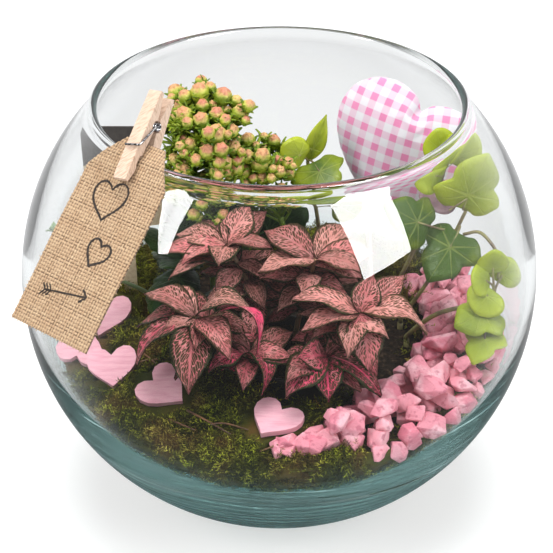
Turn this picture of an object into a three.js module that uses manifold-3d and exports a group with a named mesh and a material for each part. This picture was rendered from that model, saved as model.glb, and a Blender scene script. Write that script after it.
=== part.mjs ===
// A glass fish-bowl terrarium: a moss-lined bowl planted with a pink nerve plant in a nursery pot, a
// double-flowered kalanchoe in bud and an ivy, dressed with pink gravel, painted wooden hearts, a
// gingham heart cushion on a pick, a plain card, and a jute tag held on the rim by a wooden peg.
// Millimetres, +Z up, origin at the centre of the bowl's flat underside. -Y is the front.
import * as THREE from 'three';
import { ConvexGeometry } from 'three/addons/geometries/ConvexGeometry.js';
import { mergeVertices } from 'three/addons/utils/BufferGeometryUtils.js';
import Module from 'manifold-3d';

// Bowl
const BOWL_RADIUS = 125;
const BOWL_CENTRE_Z = 115;
const FOOT_RADIUS = 47;
const BEAD_TOP_Z = 208;
const BEAD_RADIUS = 2.3;
const BEAD_RING_RADIUS = 86.4;
const INNER_RADIUS = 121;
const INNER_DEPTH = 110;
const BOWL_SEGMENTS = 36;
const FIT_GAP = 0.9;

// Soil, moss and gravel
const SOIL_TOP_Z = 76.6;
const SOIL_RADIUS = 100;
const SHOULDER_Z = 70;
const MOSS_FLOOR_Z = 14;
const WALL_LEVELS = [77, 57, 34, MOSS_FLOOR_Z];
const MOSS_THICKNESS = 11;
const LAYER_GAP = 0.4;
const MOSS_WALL_Z = 80;
const MOSS_CROWN_Z = 89;
const GRAVEL_BED_Z = 79.4;
const GRAVEL_FLOOR_Z = 78;
const STONE_SIZE = 6;
const CUBE_CORNERS = [-1, 1].flatMap((i) => [-1, 1].flatMap((j) => [-1, 1].map((k) => [i, j, k])));

// Nursery pot
const POT_CENTRE = new THREE.Vector3(4, -37, 0);
const POT_TOP_Z = 94;
const POT_BOTTOM_Z = 48;
const POT_TOP_RADIUS = 26;
const POT_BOTTOM_RADIUS = 20;
const POT_WALL = 1.3;
const POT_LIP = 1.2;
const POT_SOIL_Z = 90;
const ROOT_DEPTH = 12;

// Plants
const BLADE_THICKNESS = 1.2;
const ROOT_RADIUS = 1.7;
const HOLE_CLEARANCE = 0.45;
// How far below its bud a flower stalk leaves the stem
const STALK_DROP = 16;

// Small pieces
const WOOD_HEART_SIZE = 24;
const WOOD_HEART_THICKNESS = 3;
const WOOD_HEART_NOTCH = 0.5;
const SEAT_RADIUS = 14.5;
const SEAT_DEPTH = 16;
const CUSHION_SIZE = 77;
const CUSHION_THICKNESS = 26;
const CUSHION_NOTCH = 0.62;
const TAG_WIDTH = 48;
const TAG_LENGTH = 92;
const TAG_THICKNESS = 1.2;
const PEG_LENGTH = 42;
const PEG_WIDTH = 7;
const WIRE_RADIUS = 0.5;

const SPECK_VOLUME = 0.01;
const UP = new THREE.Vector3(0, 0, 1);
const wasm = await Module();
wasm.setup();

// Repeatable numbers from 0 to 1
function numbers(seed) {
  let state = seed;
  return () => {
    state = (state * 1664525 + 1013904223) % 4294967296;
    return state / 4294967296;
  };
}

function point(x, y, z) {
  return new THREE.Vector3(x, y, z);
}

// Shares the corners that lie together and leaves out faces with no area
function welded(geometry) {
  const bare = geometry.clone();
  bare.deleteAttribute('normal');
  bare.deleteAttribute('uv');
  const merged = mergeVertices(bare, 1e-4);
  const kept = [];
  for (let i = 0; i < merged.index.count; i += 3) {
    const [a, b, c] = [0, 1, 2].map((k) => merged.index.getX(i + k));
    if (a !== b && b !== c && c !== a) kept.push(a, b, c);
  }
  merged.setIndex(kept);
  return merged;
}

function signedVolume(geometry) {
  const { position } = geometry.attributes;
  const [a, b, c] = [point(), point(), point()];
  let sum = 0;
  for (let i = 0; i < geometry.index.count; i += 3) {
    a.fromBufferAttribute(position, geometry.index.getX(i));
    b.fromBufferAttribute(position, geometry.index.getX(i + 1));
    c.fromBufferAttribute(position, geometry.index.getX(i + 2));
    sum += a.dot(b.cross(c)) / 6;
  }
  return sum;
}

// A closed geometry with its faces pointing out
function closed(geometry) {
  const result = welded(geometry);
  if (signedVolume(result) < 0) result.setIndex(Array.from(result.index.array).reverse());
  return result;
}

function fromRows(vertices, faces) {
  const geometry = new THREE.BufferGeometry();
  const values = vertices.flatMap((v) => v.toArray());
  geometry.setAttribute('position', new THREE.Float32BufferAttribute(values, 3));
  geometry.setIndex(faces.flat());
  return closed(geometry);
}

function toSolid(geometry) {
  const bare = closed(geometry);
  const vertProperties = new Float32Array(bare.attributes.position.array);
  const triVerts = new Uint32Array(bare.index.array);
  return new wasm.Manifold(new wasm.Mesh({ numProp: 3, vertProperties, triVerts }));
}

function toGeometry(solid) {
  const { vertProperties, triVerts } = solid.getMesh();
  const geometry = new THREE.BufferGeometry();
  geometry.setAttribute('position', new THREE.BufferAttribute(new Float32Array(vertProperties), 3));
  geometry.setIndex(new THREE.BufferAttribute(new Uint32Array(triVerts), 1));
  return geometry;
}

// Leaves out the specks that a join can leave where two faces graze
function withoutSpecks(solid) {
  const bodies = solid.decompose().filter((body) => body.volume() > SPECK_VOLUME);
  return bodies.length === 1 ? bodies[0] : wasm.Manifold.compose(bodies);
}

function joined(geometries) {
  return geometries.map(toSolid).reduce((all, next) => all.add(next));
}

function fused(geometries) {
  return toGeometry(withoutSpecks(joined(geometries)));
}

function cut(geometry, cutters) {
  return toGeometry(withoutSpecks(toSolid(geometry).subtract(joined(cutters))));
}

// Joins rings of the same count into one closed body, with a flat cap at each end
function lofted(rings) {
  const count = rings[0].length;
  const vertices = rings.flat();
  const faces = [];
  for (let row = 0; row + 1 < rings.length; row += 1) {
    for (let i = 0; i < count; i += 1) {
      const [a, b] = [row * count + i, row * count + ((i + 1) % count)];
      faces.push([a, b, b + count], [a, b + count, a + count]);
    }
  }
  const last = (rings.length - 1) * count;
  for (let i = 1; i + 1 < count; i += 1) faces.push([0, i + 1, i], [last, last + i, last + i + 1]);
  return fromRows(vertices, faces);
}

// A surface of revolution about +Z from [radius, height] pairs
function turned(profile, segments = BOWL_SEGMENTS) {
  const points = profile.map(([radius, height]) => new THREE.Vector2(radius, height));
  return closed(new THREE.LatheGeometry(points, segments).rotateX(Math.PI / 2));
}

function extruded(shape, depth, curveSegments = 6) {
  return closed(new THREE.ExtrudeGeometry(shape, { depth, bevelEnabled: false, curveSegments }));
}

// A tapered stem along spaced points
function stem(rows, startRadius, endRadius, sides = 4) {
  const last = rows.length - 1;
  const start = rows[1].clone().sub(rows[0]).normalize();
  const side = Math.abs(start.z) > 0.9 ? point(1, 0, 0) : UP.clone();
  const rings = rows.map((centre, i) => {
    const along = rows[Math.min(i + 1, last)].clone().sub(rows[Math.max(i - 1, 0)]).normalize();
    const first = side.clone().addScaledVector(along, -side.dot(along)).normalize();
    const second = along.clone().cross(first);
    const radius = THREE.MathUtils.lerp(startRadius, endRadius, i / last);
    return Array.from({ length: sides }, (_, k) => {
      const angle = (2 * Math.PI * k) / sides;
      return centre.clone()
        .addScaledVector(first, radius * Math.cos(angle))
        .addScaledVector(second, radius * Math.sin(angle));
    });
  });
  return lofted(rings);
}

function spaced(points, steps) {
  return new THREE.CatmullRomCurve3(points).getSpacedPoints(steps);
}

// The place on a stem nearest to a point
function nearestOn(rows, target) {
  let best = rows[0];
  for (let i = 0; i + 1 < rows.length; i += 1) {
    const close = new THREE.Line3(rows[i], rows[i + 1]).closestPointToPoint(target, true, point());
    if (close.distanceTo(target) < best.distanceTo(target)) best = close;
  }
  return best;
}

// An upright root that stands in its plain hole
function root([x, y], soilZ) {
  const length = ROOT_DEPTH + 3;
  return new THREE.CylinderGeometry(ROOT_RADIUS, ROOT_RADIUS, length, 6)
    .rotateX(Math.PI / 2)
    .translate(x, y, soilZ + 3 - length / 2);
}

function rootHole([x, y], soilZ) {
  const length = ROOT_DEPTH + HOLE_CLEARANCE + 6;
  const radius = ROOT_RADIUS + HOLE_CLEARANCE;
  return new THREE.CylinderGeometry(radius, radius, length, 6)
    .rotateX(Math.PI / 2)
    .translate(x, y, soilZ + 6 - length / 2);
}

// The leaf's own directions: along it, across it and out of its upper face
function leafFrame({ foot, tip, face = [0, 0, 1] }) {
  const along = tip.clone().sub(foot).normalize();
  const across = along.clone().cross(point(...face)).normalize();
  const normal = across.clone().cross(along).normalize();
  return { along, across, normal };
}

// Width along a leaf, as [share of the length, share of half the width]
const OVATE = [[0.2, 0.68], [0.48, 1], [0.8, 0.52]];
const LANCE = [[0.25, 0.8], [0.7, 0.7]];

// A simple leaf blade: two halves that rise from an arched midrib
function blade(leaf) {
  const { foot, tip, width, arch = 0.12, fold = 0.22, outline = OVATE } = leaf;
  const { along, across, normal } = leafFrame(leaf);
  const length = tip.distanceTo(foot);
  const vertices = [foot.clone()];
  for (const [t, share] of outline) {
    const half = (width / 2) * share;
    const middle = foot.clone().addScaledVector(along, length * t)
      .addScaledVector(normal, length * arch * 4 * t * (1 - t));
    const rise = half * fold;
    vertices.push(
      middle.clone().addScaledVector(normal, BLADE_THICKNESS / 2),
      middle.clone().addScaledVector(across, half).addScaledVector(normal, rise),
      middle.clone().addScaledVector(normal, -BLADE_THICKNESS / 2),
      middle.clone().addScaledVector(across, -half).addScaledVector(normal, rise),
    );
  }
  vertices.push(tip.clone());
  const end = vertices.length - 1;
  const faces = [];
  for (let side = 0; side < 4; side += 1) {
    const next = (side + 1) % 4;
    faces.push([0, 1 + side, 1 + next], [end, end - 4 + next, end - 4 + side]);
    for (let row = 0; row + 1 < outline.length; row += 1) {
      const [a, b] = [1 + row * 4 + side, 1 + row * 4 + next];
      if (side % 2) faces.push([a, a + 4, b], [b, a + 4, b + 4]);
      else faces.push([a, a + 4, b + 4], [a, b + 4, b]);
    }
  }
  return fromRows(vertices, faces);
}

// Where the veins of a lobed leaf meet, as a share of its length
const HUB_SHARE = 0.3;

function hubOf({ foot, tip }) {
  return foot.clone().lerp(tip, HUB_SHARE);
}

// A lobed or scalloped leaf: a fan about its hub, drooping to its edge
function lobed(leaf) {
  const { foot, tip, width, outline, droop = 0.16 } = leaf;
  const { along, across, normal } = leafFrame(leaf);
  const length = tip.distanceTo(foot);
  const hub = hubOf(leaf);
  const vertices = [
    hub.clone().addScaledVector(normal, BLADE_THICKNESS / 2),
    hub.clone().addScaledVector(normal, -BLADE_THICKNESS / 2),
  ];
  for (const [t, s] of outline) {
    const edge = hub.clone()
      .addScaledVector(along, length * (t - HUB_SHARE))
      .addScaledVector(across, (width / 2) * s);
    vertices.push(edge.addScaledVector(normal, -droop * edge.distanceTo(hub)));
  }
  const faces = [];
  for (let i = 0; i < outline.length; i += 1) {
    const [a, b] = [2 + i, 2 + ((i + 1) % outline.length)];
    faces.push([0, a, b], [1, b, a]);
  }
  return fromRows(vertices, faces);
}

const IVY_HALF = [[-0.02, 0.2], [0.02, 0.74], [0.32, 1], [0.48, 0.56], [0.74, 0.56], [0.9, 0.2]];
const SCALLOP_HALF = [
  [0.02, 0.3], [0.18, 0.74], [0.3, 0.76], [0.36, 1], [0.58, 0.9], [0.63, 0.96], [0.86, 0.5],
];

// Both halves of an outline, from the foot round the tip and back
function bothHalves(half) {
  const mirrored = half.map(([t, s]) => [t, -s]).reverse();
  return [...half, [1, 0], ...mirrored];
}

const IVY = bothHalves(IVY_HALF);
const SCALLOPED = bothHalves(SCALLOP_HALF);

function coloured(name, geometry, color, roughness, metalness = 0) {
  const mesh = new THREE.Mesh(geometry, new THREE.MeshStandardMaterial({ color, roughness, metalness }));
  mesh.name = name;
  return mesh;
}

// Inner face of the glass: its radius at a height
function innerRadius(z, gap = 0) {
  const depth = z < BOWL_CENTRE_Z ? INNER_DEPTH : INNER_RADIUS;
  const share = Math.min(1, Math.abs(z - BOWL_CENTRE_Z) / (depth - gap));
  return (INNER_RADIUS - gap) * Math.sqrt(1 - share * share);
}

// Heights of the bowl's rings of corners, up its outside and down its inside
const OUTSIDE_LEVELS = [10, 32, 60, 88, BOWL_CENTRE_Z, 142, 168, 189];
const INSIDE_LEVELS = [188, 166, 140, 112, 92, ...WALL_LEVELS, 8];
const NECK_Z = 202;
const NECK_WALL = 4.2;

function bowl() {
  const profile = [[0, 0], [FOOT_RADIUS - 2, 0], [FOOT_RADIUS, 0.8]];
  for (const z of OUTSIDE_LEVELS) {
    profile.push([Math.sqrt(BOWL_RADIUS ** 2 - (z - BOWL_CENTRE_Z) ** 2), z]);
  }
  profile.push([BEAD_RING_RADIUS + NECK_WALL, NECK_Z]);
  for (const degrees of [0, 60, 120, 180]) {
    const angle = THREE.MathUtils.degToRad(degrees);
    const [r, z] = [BEAD_RING_RADIUS, BEAD_TOP_Z - BEAD_RADIUS];
    profile.push([r + BEAD_RADIUS * Math.cos(angle), z + BEAD_RADIUS * Math.sin(angle)]);
  }
  profile.push([BEAD_RING_RADIUS, NECK_Z]);
  for (const z of INSIDE_LEVELS) profile.push([innerRadius(z), z]);
  profile.push([0, BOWL_CENTRE_Z - INNER_DEPTH]);
  return turned(profile);
}

// Root places in the open soil, [x, y]
const SOIL_ROOTS = {
  kalanchoe_leaves_1: [-44, 18],
  kalanchoe_leaves_2: [-18, 12],
  kalanchoe_head_1: [-33, 38],
  kalanchoe_head_2: [-12, 36],
  kalanchoe_head_3: [-34, 22],
  kalanchoe_head_4: [2, 26],
  ivy_vine_1: [62, 4],
  ivy_vine_2: [56, 16],
  ivy_vine_3: [64, -10],
  ivy_vine_4: [24, 46],
  fern_sprig: [-63, 10],
  cushion_pick: [49, 38],
};
const POT_ROOTS = {
  fittonia_shoot_1: [-6, -26],
  fittonia_shoot_2: [8, -28],
  fittonia_shoot_3: [16, -42],
  fittonia_shoot_4: [-12, -40],
  fittonia_shoot_5: [-3, -50],
  fittonia_shoot_6: [8, -54],
};
const CARD_X = -77;
const CARD_Y = 22;
const CARD_WIDTH = 38;
const CARD_TOP_Z = 183;
const CARD_BOTTOM_Z = 128;
const STAKE_WIDTH = 7;
const STAKE_TIP_Z = 64;
const CARD_THICKNESS = 0.9;

function holesFor(roots, soilZ) {
  return Object.values(roots).map((place) => rootHole(place, soilZ));
}

function stakeHole() {
  const clear = 2 * HOLE_CLEARANCE;
  return new THREE.BoxGeometry(STAKE_WIDTH + clear, CARD_THICKNESS + clear, 60)
    .translate(CARD_X, CARD_Y, SOIL_TOP_Z + 12);
}

function potBody(extra) {
  const outer = [
    [0, POT_BOTTOM_Z - extra],
    [POT_BOTTOM_RADIUS + extra, POT_BOTTOM_Z - extra],
    [POT_TOP_RADIUS + extra, POT_TOP_Z - 7],
    [POT_TOP_RADIUS + extra, POT_TOP_Z + 8],
    [0, POT_TOP_Z + 8],
  ];
  return turned(outer, 24).translate(POT_CENTRE.x, POT_CENTRE.y, 0);
}

function pottingSoil() {
  const profile = [[0, 6.4], [innerRadius(MOSS_FLOOR_Z, FIT_GAP) - 8, MOSS_FLOOR_Z]];
  for (const z of WALL_LEVELS.slice(1, -1).reverse()) {
    profile.push([innerRadius(z, FIT_GAP) - MOSS_THICKNESS, z]);
  }
  profile.push([SOIL_RADIUS, SHOULDER_Z], [SOIL_RADIUS - 4, SOIL_TOP_Z], [0, SOIL_TOP_Z]);
  return cut(turned(profile), [potBody(LAYER_GAP), stakeHole(), ...holesFor(SOIL_ROOTS, SOIL_TOP_Z)]);
}

// Painted wooden hearts: centre on the moss, turn of the tip and lean towards the front, in degrees
const WOOD_HEARTS = [
  { name: 'wood_heart_1', x: -88, y: 4, turn: -12, lean: 30 },
  { name: 'wood_heart_2', x: -80, y: -40, turn: 6, lean: 25 },
  { name: 'wood_heart_3', x: -54, y: -60, turn: 52, lean: 24 },
  { name: 'wood_heart_4', x: -2, y: -84, turn: -32, lean: 10 },
  { name: 'wood_heart_5', x: -98, y: -20, turn: 170, lean: 22 },
];

function plainHeight(x, y) {
  const share = THREE.MathUtils.clamp((112 - Math.hypot(x, y)) / 50, 0, 1);
  return THREE.MathUtils.lerp(MOSS_WALL_Z, MOSS_CROWN_Z, share);
}

// The space that each wooden heart presses into the moss
function heartSeat({ x, y, lean }) {
  return new THREE.CylinderGeometry(SEAT_RADIUS, SEAT_RADIUS, SEAT_DEPTH, 8)
    .rotateX(Math.PI / 2)
    .translate(0, 0, SEAT_DEPTH / 2)
    .rotateX(THREE.MathUtils.degToRad(lean))
    .translate(x, y, plainHeight(x, y));
}

// Height of the moss, which is flat and tilted under each wooden heart
function mossHeight(x, y) {
  const bumps = 1.1 * Math.sin(x * 0.31 + 1) * Math.cos(y * 0.27) + 0.8 * Math.sin((x - y) * 0.19);
  let height = plainHeight(x, y) + bumps;
  for (const heart of WOOD_HEARTS) {
    const away = Math.hypot(x - heart.x, y - heart.y);
    const slope = Math.tan(THREE.MathUtils.degToRad(heart.lean));
    const flat = plainHeight(heart.x, heart.y) + (y - heart.y) * slope;
    height = THREE.MathUtils.lerp(flat, height, THREE.MathUtils.smoothstep(away, 18, 26));
  }
  return height;
}

// Inner edge of the moss: it reaches further in at the front left
const MOSS_EDGE_RADIUS = 68;
const MOSS_FRONT_LEFT_RADIUS = 54;

// The moss lines the glass and curls over the soil's edge
function mossBed() {
  const rings = [];
  for (let i = 0; i < BOWL_SEGMENTS; i += 1) {
    const angle = -Math.PI / 2 + (2 * Math.PI * i) / BOWL_SEGMENTS;
    const [c, s] = [Math.cos(angle), Math.sin(angle)];
    const at = (radius, z) => point(radius * c, radius * s, z);
    const wall = (z) => at(innerRadius(z, FIT_GAP), z);
    const edge = c < -0.01 && s < -0.01 ? MOSS_FRONT_LEFT_RADIUS : MOSS_EDGE_RADIUS;
    const wallRadius = innerRadius(WALL_LEVELS[0], FIT_GAP);
    const ring = [0, 0.2, 0.4, 0.6, 0.8].map((share) => {
      const radius = THREE.MathUtils.lerp(edge, wallRadius, share + 0.06);
      return at(radius, mossHeight(radius * c, radius * s));
    });
    ring.push(at(wallRadius - 2, mossHeight((wallRadius - 2) * c, (wallRadius - 2) * s) - 0.8));
    ring.push(...WALL_LEVELS.map(wall));
    for (const z of WALL_LEVELS.slice(1, -1).reverse()) {
      ring.push(at(innerRadius(z, FIT_GAP) - MOSS_THICKNESS + LAYER_GAP, z));
    }
    ring.push(at(SOIL_RADIUS + LAYER_GAP, SHOULDER_Z));
    ring.push(at(SOIL_RADIUS - 3.6, SOIL_TOP_Z + LAYER_GAP), at(edge, SOIL_TOP_Z + LAYER_GAP));
    rings.push(ring);
  }
  const seats = WOOD_HEARTS.map(heartSeat);
  return cut(looped(rings), [potBody(LAYER_GAP), stakeHole(), gravelTrench(), ...seats]);
}

// Joins rings into one closed loop of rings, like a tyre
function looped(rings) {
  const count = rings[0].length;
  const faces = [];
  for (let row = 0; row < rings.length; row += 1) {
    const next = (row + 1) % rings.length;
    for (let i = 0; i < count; i += 1) {
      const j = (i + 1) % count;
      const [a, b, c, d] = [row * count + i, row * count + j, next * count + j, next * count + i];
      faces.push([a, b, c], [a, c, d]);
    }
  }
  return fromRows(rings.flat(), faces);
}

// Plan of the gravel: angle in degrees, inner and outer radius
const GRAVEL_PLAN = [
  [-93, 97, 104], [-78, 88, 103], [-70, 78, 104], [-62, 72, 108],
  [-52, 67, 114], [-14, 70, 114], [34, 72, 114],
];
const GRAVEL_CELLS = 18;

function gravelEdges(degrees) {
  const after = Math.max(1, GRAVEL_PLAN.findIndex(([start]) => start >= degrees));
  const [[start, ...edges], [end, ...nextEdges]] = GRAVEL_PLAN.slice(after - 1, after + 1);
  const share = THREE.MathUtils.clamp((degrees - start) / (end - start), 0, 1);
  return edges.map((edge, i) => THREE.MathUtils.lerp(edge, nextEdges[i], share));
}

// The gravel's space, whose floor steps up onto the moss lip at the soil's edge
function gravelSpace(gap, topZ) {
  const rings = [];
  const [first, last] = [GRAVEL_PLAN[0][0], GRAVEL_PLAN.at(-1)[0]];
  for (let i = 0; i <= GRAVEL_CELLS; i += 1) {
    const degrees = THREE.MathUtils.lerp(first + gap, last - gap, i / GRAVEL_CELLS);
    const angle = THREE.MathUtils.degToRad(degrees);
    const [inner, outer] = gravelEdges(degrees);
    const at = (radius, z) => point(radius * Math.cos(angle), radius * Math.sin(angle), z);
    const [start, end] = [inner + gap, outer - gap];
    const low = SOIL_TOP_Z + LAYER_GAP * gap;
    const step = Math.max(start + 0.2, SOIL_RADIUS - 3.4);
    const floor = start > SOIL_RADIUS - 3.6 ? low + 1 : low;
    rings.push([
      at(start, floor), at(step, floor), at(step + 0.8, low + 1),
      at(end, low + 1), at(end, topZ), at(start, topZ),
    ]);
  }
  return lofted(rings);
}

function gravelTrench() {
  return gravelSpace(0, 110);
}

// A stone with eight jittered corners, kept inside the gravel's space
function stone(next, x, y, z, size) {
  const pose = new THREE.Euler(0.7 * next() - 0.35, 0.7 * next() - 0.35, 2 * Math.PI * next());
  const jitter = () => 0.8 + 0.4 * next();
  const corners = [];
  for (const [i, j, k] of CUBE_CORNERS) {
    const corner = point(i * jitter(), 0.8 * j * jitter(), 0.62 * k * jitter());
    corner.multiplyScalar(size).applyEuler(pose).add(point(x, y, z));
    const [inner, outer] = gravelEdges(THREE.MathUtils.radToDeg(Math.atan2(corner.y, corner.x)));
    corner.z = Math.max(corner.z, GRAVEL_FLOOR_Z + 0.2);
    const radius = Math.hypot(corner.x, corner.y);
    const fit = THREE.MathUtils.clamp(radius, inner + 0.9, Math.min(outer - 0.9, innerRadius(corner.z, 2)));
    corner.x *= fit / radius;
    corner.y *= fit / radius;
    corners.push(corner);
  }
  return new ConvexGeometry(corners);
}

// Rows of stones: share across the gravel, height over its bed and spacing
const STONE_ROWS = [
  [0.08, 1.6, 23], [0.36, 2.2, 24], [0.66, 2.6, 23], [0.96, 2.6, 22], [0.24, 7, 60], [0.62, 7.5, 52],
];

// Angular stones over a thin bed of the same gravel
function pinkGravel() {
  const next = numbers(27);
  const pieces = [gravelSpace(1, GRAVEL_BED_Z)];
  for (const [across, lift, spacing] of STONE_ROWS) {
    let degrees = GRAVEL_PLAN[0][0] + 5;
    while (degrees < GRAVEL_PLAN.at(-1)[0] - 7) {
      const [inner, outer] = gravelEdges(degrees);
      const size = Math.min(STONE_SIZE * (0.8 + 0.4 * next()), (outer - inner) * 0.55);
      const middle = THREE.MathUtils.lerp(inner + 0.7 * size, outer - 0.7 * size, across);
      const radius = middle + 2.5 * (next() - 0.5);
      const angle = THREE.MathUtils.degToRad(degrees);
      const [x, y] = [radius * Math.cos(angle), radius * Math.sin(angle)];
      pieces.push(stone(next, x, y, GRAVEL_BED_Z + lift, size));
      degrees += THREE.MathUtils.radToDeg((spacing * (0.85 + 0.3 * next())) / radius);
    }
  }
  const bodies = joined(pieces).decompose();
  return toGeometry(bodies.sort((a, b) => b.volume() - a.volume())[0]);
}

function nurseryPot() {
  const profile = [
    [0, POT_BOTTOM_Z], [POT_BOTTOM_RADIUS, POT_BOTTOM_Z], [POT_TOP_RADIUS - POT_LIP, POT_TOP_Z - 7],
    [POT_TOP_RADIUS, POT_TOP_Z - 6], [POT_TOP_RADIUS, POT_TOP_Z], [POT_TOP_RADIUS - POT_WALL, POT_TOP_Z],
    [POT_TOP_RADIUS - POT_LIP - POT_WALL, POT_TOP_Z - 8],
    [POT_BOTTOM_RADIUS - POT_WALL, POT_BOTTOM_Z + POT_WALL], [0, POT_BOTTOM_Z + POT_WALL],
  ];
  return turned(profile, 20);
}

function potSoil() {
  const inset = POT_WALL + LAYER_GAP;
  const profile = [
    [0, POT_BOTTOM_Z + inset], [POT_BOTTOM_RADIUS - inset - 0.2, POT_BOTTOM_Z + inset],
    [POT_TOP_RADIUS - POT_LIP - inset - 0.2, POT_TOP_Z - 8.5],
    [POT_TOP_RADIUS - 1.6 - inset, POT_SOIL_Z], [0, POT_SOIL_Z],
  ];
  const body = turned(profile, 20).translate(POT_CENTRE.x, POT_CENTRE.y, 0);
  return cut(body, holesFor(POT_ROOTS, POT_SOIL_Z));
}

// An upright root, a stem through hand-placed points, and leaves from the nearest places on the stem
function leafyStem(place, soilZ, path, leaves, radius = 1.5, tipRadius = 1) {
  const [x, y] = place;
  const foot = [point(x, y, soilZ + 1), point(x, y, soilZ + 5)];
  const rows = spaced([...foot, ...path.map((p) => point(...p))], 5);
  const end = rows.at(-1);
  const parts = [
    root(place, soilZ),
    stem(rows, radius, tipRadius),
    new THREE.OctahedronGeometry(1.5 * tipRadius).translate(end.x, end.y, end.z),
  ];
  for (const leaf of leaves) {
    const spec = { ...leaf, foot: point(...leaf.foot), tip: point(...leaf.tip) };
    const start = nearestOn(rows, spec.foot);
    const isLobed = spec.outline !== undefined && spec.outline.length > 6;
    if (start.distanceTo(spec.foot) < 2.5) spec.foot = start.clone();
    const stalkEnd = isLobed ? hubOf(spec) : spec.foot.clone().lerp(spec.tip, 0.1);
    if (isLobed || start.distanceTo(spec.foot) > 0.1) parts.push(stem([start, stalkEnd], 0.85, 0.7, 3));
    parts.push(isLobed ? lobed(spec) : blade(spec));
  }
  return fused(parts);
}

// Nerve plant: for each shoot its stem and its leaves, foot and tip in millimetres
const FITTONIA = {
  fittonia_shoot_1: {
    path: [[-14, -22, 118], [-25, -14, 137]],
    leaves: [
      { foot: [-25, -14, 137], tip: [-14, 2, 151], width: 16, arch: 0.05, face: [-0.3, -0.7, 0.6] },
      { foot: [-24, -14, 137], tip: [-6, 5, 146], width: 12, arch: 0.08, face: [0, -0.6, 0.8] },
      { foot: [-25, -15, 137], tip: [-3, -27, 142], width: 13, arch: 0.14 },
      { foot: [-26, -14, 137], tip: [-50, -6, 138], width: 13, arch: 0.14, face: [0, -0.4, 0.9] },
      { foot: [-26, -15, 137], tip: [-46, -26, 133], width: 13, arch: 0.16 },
      { foot: [-25, -15, 136], tip: [-28, -37, 139], width: 14, arch: 0.12 },
      { foot: [-25, -14, 135], tip: [-38, 2, 142], width: 12, face: [0, -0.6, 0.8] },
      { foot: [-20, -18, 127], tip: [-42, -4, 121], width: 15 },
      { foot: [-19, -18, 127], tip: [-4, -2, 124], width: 14 },
    ],
  },
  fittonia_shoot_2: {
    path: [[12, -30, 118], [17, -34, 141]],
    leaves: [
      { foot: [17, -34, 140], tip: [-7, -14, 145], width: 16, arch: 0.16, face: [0, -0.4, 0.9] },
      { foot: [16, -35, 140], tip: [-10, -40, 137], width: 16, arch: 0.12 },
      { foot: [18, -33, 141], tip: [33, -12, 148], width: 16, arch: 0.06, face: [-0.1, -0.6, 0.7] },
      { foot: [18, -35, 140], tip: [38, -44, 138], width: 14, arch: 0.18 },
      { foot: [17, -34, 140], tip: [45, -24, 138], width: 14, face: [0, -0.5, 0.8] },
      { foot: [17, -33, 139], tip: [14, -10, 136], width: 14 },
      { foot: [15, -32, 128], tip: [38, -16, 122], width: 15 },
      { foot: [14, -32, 128], tip: [-3, -15, 116], width: 15 },
    ],
  },
  fittonia_shoot_3: {
    path: [[27, -50, 112], [37, -57, 125]],
    leaves: [
      { foot: [36, -57, 125], tip: [6, -55, 132], width: 17, arch: 0.14 },
      { foot: [37, -56, 125], tip: [43, -48, 141], width: 13, arch: 0.04, face: [0, -0.9, 0.3] },
      { foot: [38, -56, 125], tip: [58, -38, 134], width: 14, arch: 0.04, face: [0.2, -0.7, 0.6] },
      { foot: [38, -58, 125], tip: [68, -60, 117], width: 16, arch: 0.24 },
      { foot: [36, -58, 124], tip: [10, -69, 124], width: 14, arch: 0.12 },
      { foot: [38, -59, 124], tip: [40, -80, 110], width: 16, arch: 0.14 },
      { foot: [32, -53, 117], tip: [62, -36, 113], width: 16, arch: 0.2 },
      { foot: [30, -52, 114], tip: [44, -72, 102], width: 15, arch: 0.16 },
    ],
  },
  fittonia_shoot_4: {
    path: [[-26, -46, 106], [-39, -52, 120]],
    leaves: [
      { foot: [-38, -52, 120], tip: [-10, -58, 124], width: 14, arch: 0.34 },
      { foot: [-40, -52, 119], tip: [-66, -60, 101], width: 14, arch: 0.2 },
      { foot: [-40, -50, 120], tip: [-64, -34, 121], width: 15, arch: 0.16 },
      { foot: [-38, -54, 119], tip: [-41, -80, 98], width: 18, arch: 0.16 },
      { foot: [-41, -50, 119], tip: [-67, -42, 108], width: 12, arch: 0.14 },
      { foot: [-37, -53, 119], tip: [-22, -76, 114], width: 14, arch: 0.16 },
      { foot: [-31, -48, 112], tip: [-48, -24, 106], width: 15 },
      { foot: [-26, -46, 106], tip: [-48, -66, 96], width: 13 },
    ],
  },
  fittonia_shoot_5: {
    path: [[-10, -60, 100], [-16, -64, 108]],
    leaves: [
      { foot: [-16, -64, 108], tip: [-8, -82, 99], width: 11, arch: 0.4, face: [0.6, 0, 0.8] },
      { foot: [-17, -63, 108], tip: [-32, -72, 104], width: 13, arch: 0.2 },
      { foot: [-14, -62, 106], tip: [3, -70, 108], width: 14, arch: 0.12 },
      { foot: [-9, -58, 100], tip: [-27, -60, 97], width: 14 },
    ],
  },
  fittonia_shoot_6: {
    path: [[13, -60, 98], [22, -64, 107]],
    leaves: [
      { foot: [22, -64, 107], tip: [3, -85, 99], width: 18, arch: 0.14 },
      { foot: [22, -63, 108], tip: [8, -77, 115], width: 14, arch: 0.12, face: [-0.3, -0.7, 0.6] },
      { foot: [23, -64, 107], tip: [46, -78, 95], width: 14, arch: 0.18 },
      { foot: [21, -64, 106], tip: [22, -86, 98], width: 14, arch: 0.18 },
      { foot: [18, -62, 103], tip: [40, -52, 98], width: 14, arch: 0.16 },
    ],
  },
};

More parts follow.
